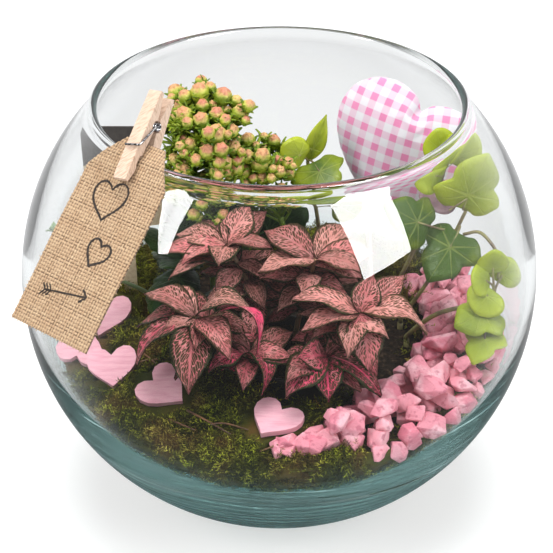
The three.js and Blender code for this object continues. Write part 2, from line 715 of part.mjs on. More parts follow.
// A closed bud in a star of four narrow sepals
function bud(centre, radius, out) {
  const at = (reach, z, quarters) => {
    const angle = (2 * Math.PI * quarters) / 4;
    return point(reach * radius * Math.cos(angle), reach * radius * Math.sin(angle), z * radius);
  };
  const vertices = [point(0, 0, -0.9 * radius), point(0, 0, 1.15 * radius)];
  for (let k = 0; k < 4; k += 1) vertices.push(at(1.3, 0.2, k), at(0.85, -0.4, k + 0.5));
  for (let k = 0; k < 4; k += 1) vertices.push(at(0.9, 0.5, k + 0.5));
  const faces = [];
  for (let k = 0; k < 4; k += 1) {
    const next = (k + 1) % 4;
    const [tip, dip, nextTip, high, nextHigh] = [2 + 2 * k, 3 + 2 * k, 2 + 2 * next, 10 + k, 10 + next];
    faces.push([0, dip, tip], [0, nextTip, dip], [tip, dip, high], [dip, nextTip, high]);
    faces.push([nextTip, nextHigh, high], [high, nextHigh, 1]);
  }
  const lift = new THREE.Quaternion().setFromUnitVectors(UP, out);
  return fromRows(vertices, faces).applyQuaternion(lift).translate(centre.x, centre.y, centre.z);
}

// Kalanchoe heads: where the stalks meet, and each bud as x, y, z and radius
const KALANCHOE = {
  kalanchoe_head_1: {
    path: [[-34, 36, 130], [-34, 28, 178]],
    buds: [
      [-50, 37, 193, 3.8], [-38, 26, 198, 4.3], [-27, 24, 197, 4.1], [-19, 19, 191, 4], [-45, 18, 190, 4.1],
      [-37, 13, 190, 3.8], [-30, 8, 185, 4.8], [-23, 12, 185, 3.4], [-42, 8, 180, 3.2], [-33, 6, 176, 4],
      [-22, 10, 177, 3.6], [-53, 26, 183, 3.4], [-36, 40, 193, 3.8], [-47, 29, 189, 3.8],
      [-30, 17, 191, 3.6],
    ],
  },
  kalanchoe_head_2: {
    path: [[-9, 36, 120], [-8, 30, 154]],
    buds: [
      [-17, 12, 163, 3.6], [-15, 26, 173, 3.4], [-9, 12, 168, 5], [-1, 16, 166, 3.4], [4, 16, 160, 3.2],
      [-3, 30, 170, 3.4], [-14, 36, 166, 3.2],
    ],
  },
  kalanchoe_head_3: {
    path: [[-34, 16, 110], [-35, 11, 142]],
    buds: [
      [-31, 4, 154, 3.9], [-41, 0, 146, 3], [-27, 0, 146, 3], [-48, 12, 152, 3], [-42, 16, 158, 3.2],
    ],
  },
  kalanchoe_head_4: {
    path: [[4, 20, 110], [1, 14, 138]],
    buds: [[-15, 12, 150, 2.8], [-1, 8, 152, 3.4], [7, 9, 149, 3.2]],
  },
};

function kalanchoeHead(place, { path, buds }) {
  const [x, y] = place;
  const foot = [point(x, y, SOIL_TOP_Z + 1), point(x, y, SOIL_TOP_Z + 5)];
  const rows = spaced([...foot, ...path.map((p) => point(...p))], 6);
  const parts = [root(place, SOIL_TOP_Z), stem(rows, 1.6, 1.5, 5)];
  for (const [bx, by, bz, radius] of buds) {
    const centre = point(bx, by, bz);
    const from = nearestOn(rows, point(bx, by, bz - STALK_DROP));
    const out = centre.clone().sub(from).normalize().add(UP).normalize();
    const to = centre.clone().addScaledVector(out, -0.5 * radius);
    parts.push(stem([from, to], 0.85, 0.75, 3), bud(centre, radius, out));
  }
  return fused(parts);
}

const KALANCHOE_LEAVES = {
  kalanchoe_leaves_1: {
    path: [[-45, 16, 96], [-46, 14, 112]],
    leaves: [
      { foot: [-46, 13, 108], tip: [-60, -24, 105], width: 26, outline: SCALLOPED },
      { foot: [-46, 15, 112], tip: [-68, 36, 120], width: 20, outline: SCALLOPED },
      { foot: [-45, 17, 104], tip: [-62, 54, 102], width: 26, outline: SCALLOPED },
      { foot: [-46, 14, 112], tip: [-52, -12, 124], width: 22, outline: SCALLOPED },
      { foot: [-46, 18, 116], tip: [-52, 26, 142], width: 24, face: [0, -0.9, 0.4], outline: SCALLOPED },
    ],
  },
  kalanchoe_leaves_2: {
    path: [[-18, 12, 96], [-16, 20, 122]],
    leaves: [
      { foot: [-17, 14, 108], tip: [10, 2, 112], width: 22, outline: SCALLOPED },
      { foot: [-18, 22, 122], tip: [-24, 26, 148], width: 22, face: [0, -0.9, 0.4], outline: SCALLOPED },
      { foot: [-13, 22, 120], tip: [14, 26, 136], width: 24, face: [0, -0.9, 0.4], outline: SCALLOPED },
      { foot: [-17, 8, 100], tip: [-40, -12, 98], width: 24, outline: SCALLOPED },
    ],
  },
};

// Ivy: stems climb along the right wall
const IVY_VINES = {
  ivy_vine_1: {
    path: [[74, 2, 104], [84, -2, 132], [91, -2, 152]],
    leaves: [
      { foot: [87, -5, 151], tip: [97, -9, 182], width: 35, face: [0.1, -0.85, 0.4], outline: IVY },
      { foot: [72, -10, 143], tip: [51, -16, 161], width: 30, face: [0, -0.7, 0.7], outline: IVY },
      { foot: [87, -10, 141], tip: [71, -24, 122], width: 33, face: [-0.1, -0.6, 0.8], outline: IVY },
    ],
  },
  ivy_vine_2: {
    path: [[66, 14, 112], [74, 8, 142], [79, 6, 170]],
    leaves: [
      { foot: [78, 2, 165], tip: [64, -4, 174], width: 20, face: [0, -0.8, 0.5], outline: IVY },
      { foot: [86, 8, 152], tip: [68, 4, 156], width: 20, face: [0, -0.6, 0.8], outline: IVY },
      { foot: [82, 4, 172], tip: [91, 2, 188], width: 20, face: [0, -0.8, 0.5], outline: IVY },
      { foot: [78, 6, 174], tip: [74, 4, 190], width: 17, face: [0.2, -0.8, 0.5], outline: IVY },
    ],
  },
  ivy_vine_3: {
    path: [[77, -15, 97], [91, -23, 108], [103, -27, 118]],
    leaves: [
      { foot: [103, -31, 113], tip: [83, -40, 108], width: 26, face: [0, -0.5, 0.8], outline: IVY },
      { foot: [100, -36, 104], tip: [90, -52, 97], width: 22, outline: IVY },
      { foot: [102, -25, 127], tip: [101, -28, 141], width: 15, face: [0, -0.8, 0.5], outline: IVY },
      { foot: [101, -27, 124], tip: [91, -32, 130], width: 16, face: [0, -0.7, 0.6], outline: IVY },
      { foot: [101, -30, 122], tip: [93, -37, 113], width: 18, face: [0, -0.6, 0.8], outline: IVY },
      { foot: [105, -24, 122], tip: [112, -20, 133], width: 16, face: [-0.2, -0.8, 0.5], outline: IVY },
    ],
  },
  ivy_vine_4: {
    path: [[20, 40, 120], [16, 32, 148], [14, 30, 160]],
    leaves: [
      { foot: [13, 25, 164], tip: [2, 20, 174], width: 16, face: [0, -0.8, 0.5], outline: IVY },
      { foot: [17, 26, 162], tip: [26, 14, 150], width: 30, face: [0, -0.5, 0.8], outline: IVY },
      { foot: [18, 31, 164], tip: [23, 33, 184], width: 10, face: [0, -0.9, 0.2], outline: LANCE },
      { foot: [26, 36, 132], tip: [41, 25, 139], width: 18, face: [0, -0.8, 0.5], outline: IVY },
    ],
  },
};

// A fern frond with leaflets cut to its rib
function fernSprig() {
  const place = SOIL_ROOTS.fern_sprig;
  const [x, y] = place;
  const path = [
    point(x, y, SOIL_TOP_Z + 1), point(x, y, SOIL_TOP_Z + 5), point(x - 3, y - 2, 94), point(-94, -6, 120),
    point(-109, -17, 148),
  ];
  const rows = spaced(path, 7);
  const parts = [root(place, SOIL_TOP_Z), stem(rows, 1.3, 0.8)];
  const rib = new THREE.CatmullRomCurve3(rows);
  for (let i = 0; i < 5; i += 1) {
    const foot = nearestOn(rows, rib.getPointAt(0.55 + i * 0.09));
    for (const side of [-1, 1]) {
      const reach = 12 - i * 0.9;
      const tip = foot.clone().add(point((side - 1.4) * 0.18 * reach, side * 0.7 * reach, 0.5 * reach));
      parts.push(blade({ foot, tip, width: 3.6, fold: 0, arch: 0.05, outline: [[0.5, 1]] }));
    }
  }
  return fused(parts);
}

// A heart outline with its tip towards -Y; notch is the height of the dip between its lobes
function heartShape(size, notch) {
  const s = size / 2;
  const shape = new THREE.Shape();
  shape.moveTo(0, -0.98 * s);
  shape.bezierCurveTo(0.3 * s, -0.6 * s, s, -0.28 * s, s, 0.32 * s);
  shape.bezierCurveTo(s, 0.9 * s, 0.34 * s, 1.1 * s, 0, notch * s);
  shape.bezierCurveTo(-0.34 * s, 1.1 * s, -s, 0.9 * s, -s, 0.32 * s);
  shape.bezierCurveTo(-s, -0.28 * s, -0.3 * s, -0.6 * s, 0, -0.98 * s);
  return shape;
}

function woodHeart({ name, x, y, turn, lean }) {
  const body = extruded(heartShape(WOOD_HEART_SIZE, WOOD_HEART_NOTCH), WOOD_HEART_THICKNESS, 5);
  const mesh = coloured(name, body, TINTS.paintedWood, 0.6);
  const tilt = new THREE.Group();
  mesh.rotation.z = THREE.MathUtils.degToRad(turn);
  mesh.position.z = LAYER_GAP;
  tilt.rotation.x = THREE.MathUtils.degToRad(lean);
  tilt.position.set(x, y, plainHeight(x, y));
  tilt.add(mesh);
  return tilt;
}

// The cushion's rings are its seam drawn in towards the middle
function cushionBody() {
  const seam = heartShape(CUSHION_SIZE, CUSHION_NOTCH).getPoints(6).slice(1);
  const rows = [[0.12, -0.5], [0.5, -0.43], [0.8, -0.27], [1, 0], [0.8, 0.27], [0.5, 0.43], [0.12, 0.5]];
  const rings = rows.map(([share, height]) => seam.map((p) => (
    point(p.x * share, (p.y + 2) * share - 2, CUSHION_THICKNESS * height)
  )));
  return lofted(rings);
}

const CUSHION_CENTRE = point(60, 38, 159);
const CUSHION_FACING = point(-0.28, -0.93, 0.22).normalize();
const CUSHION_TURN = THREE.MathUtils.degToRad(-20);

function cushionFrame() {
  const across = UP.clone().cross(CUSHION_FACING).normalize();
  const upward = CUSHION_FACING.clone().cross(across);
  const frame = new THREE.Matrix4().makeBasis(across, upward, CUSHION_FACING);
  frame.multiply(new THREE.Matrix4().makeRotationZ(CUSHION_TURN));
  return frame.setPosition(CUSHION_CENTRE);
}

function cushionPick() {
  const place = SOIL_ROOTS.cushion_pick;
  const tip = point(0, -0.49 * CUSHION_SIZE - LAYER_GAP, 0).applyMatrix4(cushionFrame());
  const path = [point(...place, SOIL_TOP_Z + 1), point(...place, SOIL_TOP_Z + 5), tip];
  return fused([root(place, SOIL_TOP_Z), stem(path, 1.5, 1.2, 6)]);
}

// Frame of the rim where the tag and peg are: across, up along the glass, and out of it
const RIM_ANGLE = THREE.MathUtils.degToRad(225.5);
const TAG_FACING = THREE.MathUtils.degToRad(226);
const TAG_LEAN = THREE.MathUtils.degToRad(43);
const TAG_TURN = THREE.MathUtils.degToRad(3);
const PEG_TURN = THREE.MathUtils.degToRad(9);

function rimFrame() {
  const outward = point(Math.cos(TAG_FACING), Math.sin(TAG_FACING), 0);
  const along = outward.clone().multiplyScalar(-Math.sin(TAG_LEAN)).addScaledVector(UP, Math.cos(TAG_LEAN));
  const out = outward.clone().multiplyScalar(Math.cos(TAG_LEAN)).addScaledVector(UP, Math.sin(TAG_LEAN));
  const across = along.clone().cross(out);
  const group = new THREE.Group();
  group.setRotationFromMatrix(new THREE.Matrix4().makeBasis(across, along, out)
    .multiply(new THREE.Matrix4().makeRotationZ(TAG_TURN)));
  group.position.set(BEAD_RING_RADIUS * Math.cos(RIM_ANGLE), BEAD_RING_RADIUS * Math.sin(RIM_ANGLE), 0);
  group.position.z = BEAD_TOP_Z - BEAD_RADIUS;
  return group;
}

// In the rim's frame the bead's centre is the origin, x runs across, y up and z out.
// The tag's corners are cut by so much across and along.
const TAG_TOP_Y = 9;
const TAG_CORNER = [12.5, 17.5];
const JAW_END_Y = -11;
const HINGE_Y = 17;
const HINGE_Z = 0.7;

// Stands a profile drawn as [y, z] up in the rim's frame; outwards is 1, or -1 to mirror it
function profileToFrame(outwards) {
  return new THREE.Matrix4().makeBasis(point(0, 1, 0), point(0, 0, outwards), point(1, 0, 0));
}

// The tag hangs flat from the bead and its top is tucked in between the peg's halves
function juteTag() {
  const half = TAG_WIDTH / 2;
  const rows = [[TAG_TOP_Y - TAG_LENGTH, 2.7], [0.6, 2.7], [3, 1.9], [TAG_TOP_Y, 0.55]];
  const front = rows.map(([y, z]) => new THREE.Vector2(y, z + TAG_THICKNESS));
  const back = rows.map(([y, z]) => new THREE.Vector2(y, z)).reverse();
  const strip = extruded(new THREE.Shape([...front, ...back]), TAG_WIDTH).translate(0, 0, -half);
  strip.applyMatrix4(profileToFrame(1));
  const corners = [-1, 1].map((side) => {
    const [across, along] = TAG_CORNER;
    const shape = new THREE.Shape([
      [side * (half - across), TAG_TOP_Y], [side * (half + across), TAG_TOP_Y],
      [side * (half + across), TAG_TOP_Y - 2 * along], [side * half, TAG_TOP_Y - along],
    ].map(([x, y]) => new THREE.Vector2(x, y)));
    return extruded(shape, 12).translate(0, 0, -4);
  });
  return cut(strip, corners);
}

// One peg half in profile, [distance from its jaw's end, distance from the jaw face's line]
const PEG_PROFILE = [
  [0, 1.2], [5, 0], [7.4, 0], [8.2, 1], [12.6, 1], [13.4, 0],
  [25.4, 0], [26, 1.6], [28, 2.3], [30, 1.7], [30.8, 0.6],
  [PEG_LENGTH, 4.6], [PEG_LENGTH, 6.6], [26, 5.4], [5, 3.8], [0, 3],
];
const PEG_FACE = 4.7;

function pegHalf(outwards) {
  const shape = new THREE.Shape(PEG_PROFILE.map(([y, z]) => new THREE.Vector2(y, z)));
  const half = extruded(shape, PEG_WIDTH).translate(0, 0, -PEG_WIDTH / 2);
  return closed(half.applyMatrix4(profileToFrame(outwards)));
}

// Each half leans away from the glass at its jaw
const HALF_LEAN = THREE.MathUtils.degToRad(9);
const HALF_OFFSET = 0.55;
const COIL_RADIUS = 2;

function leaning(geometry, outwards) {
  return closed(geometry.clone()
    .translate(0, -(HINGE_Y - JAW_END_Y), outwards * HALF_OFFSET)
    .rotateX(-outwards * HALF_LEAN)
    .translate(0, HINGE_Y, HINGE_Z));
}

function wire(points) {
  const corners = [0, 60, 120, 180, 240, 300].map(THREE.MathUtils.degToRad);
  const section = new THREE.Shape(corners.map((angle) => (
    new THREE.Vector2(WIRE_RADIUS * Math.cos(angle), WIRE_RADIUS * Math.sin(angle))
  )));
  const path = new THREE.CatmullRomCurve3(points, false, 'catmullrom', 0.2);
  return closed(new THREE.ExtrudeGeometry(section, { steps: 12, bevelEnabled: false, extrudePath: path }));
}

// How far from the middle a wire runs along the wood's side
const PEG_SIDE = PEG_WIDTH / 2 + LAYER_GAP + WIRE_RADIUS;

// One leg of the spring: along the wood's side and over its outer face
function springLeg(outwards, start) {
  const side = outwards * PEG_SIDE;
  const face = outwards * (PEG_FACE + LAYER_GAP + WIRE_RADIUS);
  return leaning(wire([
    start, point(side, 21, outwards * 3.4), point(side, 16.2, face * 0.94),
    point(side * 0.6, 15.6, face), point(-side * 0.7, 15, face),
  ]), outwards);
}

function springCoil() {
  const length = PEG_WIDTH + 2 * LAYER_GAP + 4 * WIRE_RADIUS;
  const coil = new THREE.CylinderGeometry(COIL_RADIUS, COIL_RADIUS, length, 10)
    .rotateZ(Math.PI / 2).translate(0, HINGE_Y, HINGE_Z);
  return fused([coil, springLeg(1, point(PEG_SIDE, 27.6, 0.9))]);
}

function labelCard() {
  const [half, thin] = [CARD_WIDTH / 2, STAKE_WIDTH / 2];
  const outline = [
    [-half, CARD_BOTTOM_Z], [-thin, CARD_BOTTOM_Z - 12], [-thin, STAKE_TIP_Z + 6], [0, STAKE_TIP_Z],
    [thin, STAKE_TIP_Z + 6], [thin, CARD_BOTTOM_Z - 12], [half, CARD_BOTTOM_Z],
    [half, CARD_TOP_Z], [-half, CARD_TOP_Z],
  ];
  const shape = new THREE.Shape(outline.map(([x, z]) => new THREE.Vector2(x, z)));
  return extruded(shape, CARD_THICKNESS)
    .rotateX(Math.PI / 2)
    .translate(CARD_X, CARD_Y + CARD_THICKNESS / 2, 0);
}

// Tints of the pieces, as hexadecimal red, green and blue
const TINTS = {
  glass: 0xdfeceb,
  soil: 0x2a211b,
  moss: 0x4c5a22,
  gravel: 0xe58fa0,
  pot: 0x161616,
  nervePlant: 0xc9706c,
  darkLeaf: 0x2f5a24,
  bud: 0xbcc45a,
  ivy: 0x6d9a2a,
  fern: 0x7f9a63,
  paintedWood: 0xe8a9bb,
  gingham: 0xf6b9d8,
  bareWood: 0xe3c19b,
  wire: 0x9a9a9a,
  jute: 0xcda473,
  card: 0x3a342f,
};

const terrarium = new THREE.Group();
terrarium.add(
  coloured('bowl', bowl(), TINTS.glass, 0.04),
  coloured('potting_soil', pottingSoil(), TINTS.soil, 0.95),
  coloured('moss_bed', mossBed(), TINTS.moss, 0.95),
  coloured('pink_gravel', pinkGravel(), TINTS.gravel, 0.85),
);

const pot = coloured('nursery_pot', nurseryPot(), TINTS.pot, 0.5);
pot.position.copy(POT_CENTRE);
terrarium.add(pot, coloured('pot_soil', potSoil(), TINTS.soil, 0.95));

for (const [name, { path, leaves }] of Object.entries(FITTONIA)) {
  const shoot = leafyStem(POT_ROOTS[name], POT_SOIL_Z, path, leaves);
  terrarium.add(coloured(name, shoot, TINTS.nervePlant, 0.6));
}
for (const [name, { path, leaves }] of Object.entries(KALANCHOE_LEAVES)) {
  const clump = leafyStem(SOIL_ROOTS[name], SOIL_TOP_Z, path, leaves, 1.7, 1.4);
  terrarium.add(coloured(name, clump, TINTS.darkLeaf, 0.5));
}
for (const [name, head] of Object.entries(KALANCHOE)) {
  terrarium.add(coloured(name, kalanchoeHead(SOIL_ROOTS[name], head), TINTS.bud, 0.55));
}
for (const [name, { path, leaves }] of Object.entries(IVY_VINES)) {
  const vine = leafyStem(SOIL_ROOTS[name], SOIL_TOP_Z, path, leaves, 1.3, 0.9);
  terrarium.add(coloured(name, vine, TINTS.ivy, 0.45));
}
terrarium.add(coloured('fern_sprig', fernSprig(), TINTS.fern, 0.6));

for (const heart of WOOD_HEARTS) terrarium.add(woodHeart(heart));

const cushion = coloured('heart_cushion', cushionBody(), TINTS.gingham, 0.9);
cushion.applyMatrix4(cushionFrame());
terrarium.add(cushion, coloured('cushion_pick', cushionPick(), TINTS.bareWood, 0.7));

const peg = new THREE.Group();
peg.rotation.z = PEG_TURN;
peg.add(
  coloured('peg_outer', leaning(pegHalf(1), 1), TINTS.bareWood, 0.7),
  coloured('peg_inner', leaning(pegHalf(-1), -1), TINTS.bareWood, 0.7),
  coloured('peg_spring', springCoil(), TINTS.wire, 0.3, 0.9),
  coloured('peg_spring_leg', springLeg(-1, point(-PEG_SIDE, 24.4, -2)), TINTS.wire, 0.3, 0.9),
);
const rim = rimFrame();
rim.add(coloured('jute_tag', juteTag(), TINTS.jute, 0.95), peg);
terrarium.add(rim, coloured('label_card', labelCard(), TINTS.card, 0.8));

export default terrarium;
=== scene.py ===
import math
import random

import bmesh
import bpy
import numpy as np
from mathutils import Matrix, Vector, noise
from mathutils.geometry import delaunay_2d_cdt


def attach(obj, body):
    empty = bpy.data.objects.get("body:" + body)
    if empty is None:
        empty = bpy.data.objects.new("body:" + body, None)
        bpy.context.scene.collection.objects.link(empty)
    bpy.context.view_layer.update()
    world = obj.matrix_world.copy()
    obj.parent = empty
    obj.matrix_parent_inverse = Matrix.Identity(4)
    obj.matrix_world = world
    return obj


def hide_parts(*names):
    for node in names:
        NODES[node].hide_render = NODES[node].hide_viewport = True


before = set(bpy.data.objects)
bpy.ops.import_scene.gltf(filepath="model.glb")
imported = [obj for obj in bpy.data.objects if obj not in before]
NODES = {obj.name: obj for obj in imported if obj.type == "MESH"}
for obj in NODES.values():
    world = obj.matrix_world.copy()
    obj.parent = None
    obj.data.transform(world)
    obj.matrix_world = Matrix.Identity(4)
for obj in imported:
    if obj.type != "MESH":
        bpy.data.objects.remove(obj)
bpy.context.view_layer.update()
BODY = "terrarium"
MM = 0.001
UP = Vector((0, 0, 1))
LEVEL = (0, 0, 1)
SEEDS = {"crumbs": 5, "nerve": 11, "buds": 23, "leaves": 31, "ivy": 41, "moss": 7, "twigs": 3, "gravel": 77,
         "fray": 61}

# Bowl
BOWL_RADIUS = 125
BOWL_CENTRE_Z = 115
INNER_RADIUS = 121
INNER_DEPTH = 110
BEAD_TOP_Z = 208
BEAD_RADIUS = 2.3
BEAD_RING_RADIUS = 86.4
RIM_THINNING = 2.1
BOWL_SIDES = 144

# Planting
SOIL_TOP_Z = 76.6
POT_CENTRE = (4, -37)
POT_TOP_Z = 94
POT_BOTTOM_Z = 48
POT_TOP_RADIUS = 26
POT_BOTTOM_RADIUS = 20
POT_WALL = 1.3
POT_SOIL_Z = 90
POT_SIDES = 64
ROOT_DEPTH = 12
ROOT_RADIUS = 1.7
GRAVEL_BED_Z = 79.4
HUB_SHARE = 0.3

# Cushion, tag, peg and card
CUSHION_SIZE = 77
CUSHION_THICKNESS = 26
CUSHION_NOTCH = 0.62
NOTCH_PULL = 0.25
GINGHAM_PERIOD = 8.4
THREAD = 0.55
UV_SPAN = 100
TAG_WIDTH = 48
TAG_LENGTH = 92
TAG_TOP_Y = 9
TAG_CORNER = (12.5, 17.5)
WEAVE_PITCH = 1.5
PEG_WIDTH = 7
JAW_END_Y = -11
HINGE_Y = 17
HINGE_Z = 0.7
HALF_LEAN = math.radians(9)
HALF_OFFSET = 0.55
PEG_FACE = 4.7
WIRE_RADIUS = 0.5
LAYER_GAP = 0.4
CARD_X, CARD_Y = -77, 22
CARD_WIDTH = 38
CARD_TOP_Z, CARD_BOTTOM_Z = 183, 128
CARD_BAND_Z = 162


def rounded(value, low=0.0, high=1.0):
    return min(max(value, low), high)


def mix(a, b, share):
    return a + (b - a) * share


def smooth(value, low, high):
    share = rounded((value - low) / (high - low))
    return share * share * (3 - 2 * share)


def on_circle(centre, radius, angle):
    return centre[0] + radius * math.cos(angle), centre[1] + radius * math.sin(angle)


def inner_radius(z, gap=0.0):
    depth = INNER_DEPTH if z < BOWL_CENTRE_Z else INNER_RADIUS
    share = min(1.0, abs(z - BOWL_CENTRE_Z) / (depth - gap))
    return (INNER_RADIUS - gap) * math.sqrt(1 - share * share)


# Materials
NOISE_ROUGHNESS = 0.55


class Nodes:
    """Shader nodes that are added and linked by short calls."""

    def __init__(self, tree):
        self.tree = tree

    def add(self, kind, settings=None, **inputs):
        node = self.tree.nodes.new("ShaderNode" + kind)
        for key, value in (settings or {}).items():
            setattr(node, key, value)
        for key, value in inputs.items():
            self.put(node.inputs[key.replace("_", " ")], value)
        return node

    def put(self, socket, value):
        if isinstance(value, bpy.types.Node):
            value = value.outputs[0]
        if isinstance(value, bpy.types.NodeSocket):
            self.tree.links.new(value, socket)
        else:
            socket.default_value = value

    def sum(self, operation, a, b=0.0, c=0.0, clamp=False):
        node = self.add("Math", {"operation": operation, "use_clamp": clamp})
        for socket, value in zip(node.inputs, (a, b, c)):
            self.put(socket, value)
        return node.outputs[0]

    def range(self, value, low, high, start=0.0, end=1.0, smoothly=True):
        node = self.add("MapRange", {"interpolation_type": "SMOOTHSTEP" if smoothly else "LINEAR"})
        for socket, item in zip(node.inputs, (value, low, high, start, end)):
            self.put(socket, item)
        return node.outputs[0]

    def split(self, vector):
        node = self.add("SeparateXYZ")
        self.put(node.inputs[0], vector)
        return node.outputs

    def joined(self, *values):
        node = self.add("CombineXYZ")
        for socket, value in zip(node.inputs, values):
            self.put(socket, value)
        return node.outputs[0]


class Paint(Nodes):
    """A material; colours are photo colours from 0 to 255."""

    def __init__(self, name, **shader):
        self.material = bpy.data.materials.new(name)
        self.material.use_nodes = True
        super().__init__(self.material.node_tree)
        self.shader = self.tree.nodes["Principled BSDF"]
        for key, value in shader.items():
            self.shader.inputs[key.replace("_", " ")].default_value = value
        self.output = self.tree.nodes["Material Output"]

    def ramp(self, value, stops):
        node = self.add("ValToRGB")
        elements = node.color_ramp.elements
        while len(elements) < len(stops):
            elements.new(0.5)
        for element, (place, colour) in zip(elements, stops):
            element.position = place
            element.color = tone(colour)
        self.put(node.inputs[0], value)
        return node.outputs[0]

    def blend(self, share, a, b):
        node = self.add("Mix", {"data_type": "RGBA"})
        self.put(node.inputs[0], share)
        self.put(node.inputs[6], tone(a) if isinstance(a, tuple) else a)
        self.put(node.inputs[7], tone(b) if isinstance(b, tuple) else b)
        return node.outputs[2]

    def noise(self, scale, detail=3.0, vector=None):
        node = self.add("TexNoise", Scale=scale, Detail=detail, Roughness=NOISE_ROUGHNESS)
        self.put(node.inputs["Vector"], vector or self.place())
        return node.outputs[0]

    def cracks(self, vector, **settings):
        """Distance to the nearest border between cells."""
        cells = self.add("TexVoronoi", {"feature": "DISTANCE_TO_EDGE"}, **settings)
        self.put(cells.inputs["Vector"], vector)
        return cells.outputs["Distance"]

    def place(self):
        return self.add("TexCoord").outputs["Object"]

    def uv(self):
        return self.split(self.add("TexCoord").outputs["UV"])[:2]

    def tint(self):
        split = self.add("SeparateColor")
        self.put(split.inputs[0], self.add("Attribute", {"attribute_name": "tint"}).outputs["Color"])
        return split.outputs

    def colour(self, value):
        self.put(self.shader.inputs["Base Color"], value)

    def bump(self, height, distance):
        node = self.add("Bump", Strength=1.0, Distance=distance)
        self.put(node.inputs["Height"], height)
        self.put(self.shader.inputs["Normal"], node.outputs["Normal"])

    def rough(self, value, low, high):
        self.put(self.shader.inputs["Roughness"], self.range(value, 0.3, 0.7, low, high))


def tone(colour):
    """A photo colour from 0 to 255 as linear light."""
    values = []
    for value in colour:
        share = value / 255
        values.append(share / 12.92 if share <= 0.04045 else ((share + 0.055) / 1.055) ** 2.4)
    return (*values, 1.0)


# Pressed rings of the glass: turns of their wave per metre of height, and how far noise bends it
RINGS = 1500.0
RING_WOBBLE = 14.0


def glass_paint():
    """Clear glass with rings low down from its press mould; a blue-green band with bright streaks is painted
    there as light that runs round inside its thick base.
    """
    paint = Paint("clear_glass", Roughness=0.0, IOR=1.5, Transmission_Weight=1.0)
    height = paint.split(paint.place())[2]
    wobble = paint.sum("MULTIPLY", paint.noise(9.0, 2.0), RING_WOBBLE)
    rings = paint.sum("SINE", paint.sum("MULTIPLY_ADD", height, RINGS, wobble))
    low = paint.range(height, 0.012, 0.062, 1.0, 0.0)
    paint.bump(paint.sum("MULTIPLY", rings, low), 0.0005)
    # Painted reflection: the bright streaks and the blue-green band they sit in stand for light running round
    # inside the thick base
    reflection_streaks = paint.range(paint.sum("MULTIPLY_ADD", paint.noise(22.0, 3.0), 2.4, rings), 0.0, 2.2)
    depth = paint.range(height, 0.03, 0.1, 1.0, 0.0)
    painted_inner_light = paint.blend(reflection_streaks, (34, 106, 114), (206, 252, 250))
    paint.colour(paint.blend(depth, (254, 254, 254), painted_inner_light))
    clear = paint.add("BsdfTransparent", Color=tone((246, 249, 249)))
    path = paint.add("LightPath")
    passing = paint.sum("MAXIMUM", path.outputs["Is Shadow Ray"], path.outputs["Is Diffuse Ray"])
    both = paint.add("MixShader", Fac=passing)
    paint.put(both.inputs[1], paint.shader.outputs[0])
    paint.put(both.inputs[2], clear.outputs[0])
    paint.put(paint.output.inputs["Surface"], both.outputs[0])
    tinted = paint.add("VolumeAbsorption", Color=tone((206, 234, 231)), Density=7.0)
    paint.put(paint.output.inputs["Volume"], tinted.outputs[0])
    return paint.material


def plain_paint(name, scale, detail, stops, bump=0.0, gloss=None, grain=None, turn=(0.0, 0.0, 0.0), **shader):
    """One noise gives the colour, the bump and the roughness; grain stretches it along a board."""
    paint = Paint(name, **shader)
    place = None
    if grain:
        stretch = paint.add("Mapping", Rotation=turn, Scale=grain)
        paint.put(stretch.inputs[0], paint.place())
        place = stretch.outputs[0]
    marks = paint.noise(scale, detail, place)
    paint.colour(paint.ramp(marks, stops))
    if bump:
        paint.bump(marks, bump)
    if gloss:
        paint.rough(marks, *gloss)
    return paint.material


def soil_paint(name):
    stops = [(0.3, (16, 12, 9)), (0.55, (40, 31, 24)), (0.75, (84, 66, 48))]
    return plain_paint(name, 420.0, 6.0, stops, 0.0016, Roughness=0.95, Specular_IOR_Level=0.1)


def stem_paint(name, dark, light):
    return plain_paint(name, 160.0, 4.0, [(0.35, dark), (0.65, light)], 0.0003, Roughness=0.55)


GRAIN_TURN = (0.75, 0.0, -0.55)


def wood_paint(name, dark, pale):
    """Unfinished birch; its grain runs along the tag's slope on the peg."""
    stops = [(0.32, dark), (0.52, pale), (0.75, tuple(c + 14 for c in pale))]
    grain = (1.0, 8.0, 1.0)
    return plain_paint(name, 260.0, 5.0, stops, 0.0003, (0.6, 0.8), grain, GRAIN_TURN, Roughness=0.7)


def moss_paint(name, bright):
    paint = Paint(name, Roughness=0.8, Specular_IOR_Level=0.05)
    red, green, _ = paint.tint()[:3]
    patches = paint.noise(48.0, 3.0)
    clumps = paint.range(paint.noise(120.0, 3.0), 0.38, 0.6, 0.3, 1.0)
    dark = paint.ramp(patches, [(0.36, (38, 42, 14)), (0.5, (64, 64, 22)), (0.66, (92, 68, 34))])
    light = paint.ramp(patches, [(0.36, (158, 172, 40)), (0.5, (204, 206, 66)), (0.66, (228, 206, 100))])
    share = paint.sum("MULTIPLY", paint.range(red, 0.2, 0.95, 0.0, bright), clumps)
    paint.colour(paint.blend(share, dark, light))
    paint.rough(green, 0.6, 0.85)
    return paint.material


def gravel_paint():
    """Dyed stone: pink with paler broken faces, darker where its grain lies low."""
    paint = Paint("pink_stone", Roughness=0.8, Specular_IOR_Level=0.2)
    red, green = paint.tint()[:2]
    grain = paint.noise(300.0, 6.0)
    dust = paint.noise(90.0, 4.0)
    deep = paint.blend(red, (214, 124, 142), (236, 160, 172))
    pale = paint.blend(paint.range(dust, 0.46, 0.66, 0.0, 0.75), deep, (246, 196, 204))
    dyed = paint.blend(paint.range(green, 0.8, 1.0, 0.0, 0.5), pale, (196, 100, 122))
    # Darker pink where the grain, which also gives the bump, lies low
    paint.colour(paint.blend(paint.range(grain, 0.34, 0.46, 0.6, 0.0), dyed, (176, 84, 106)))
    paint.bump(grain, 0.0009)
    paint.rough(grain, 0.62, 0.9)
    return paint.material


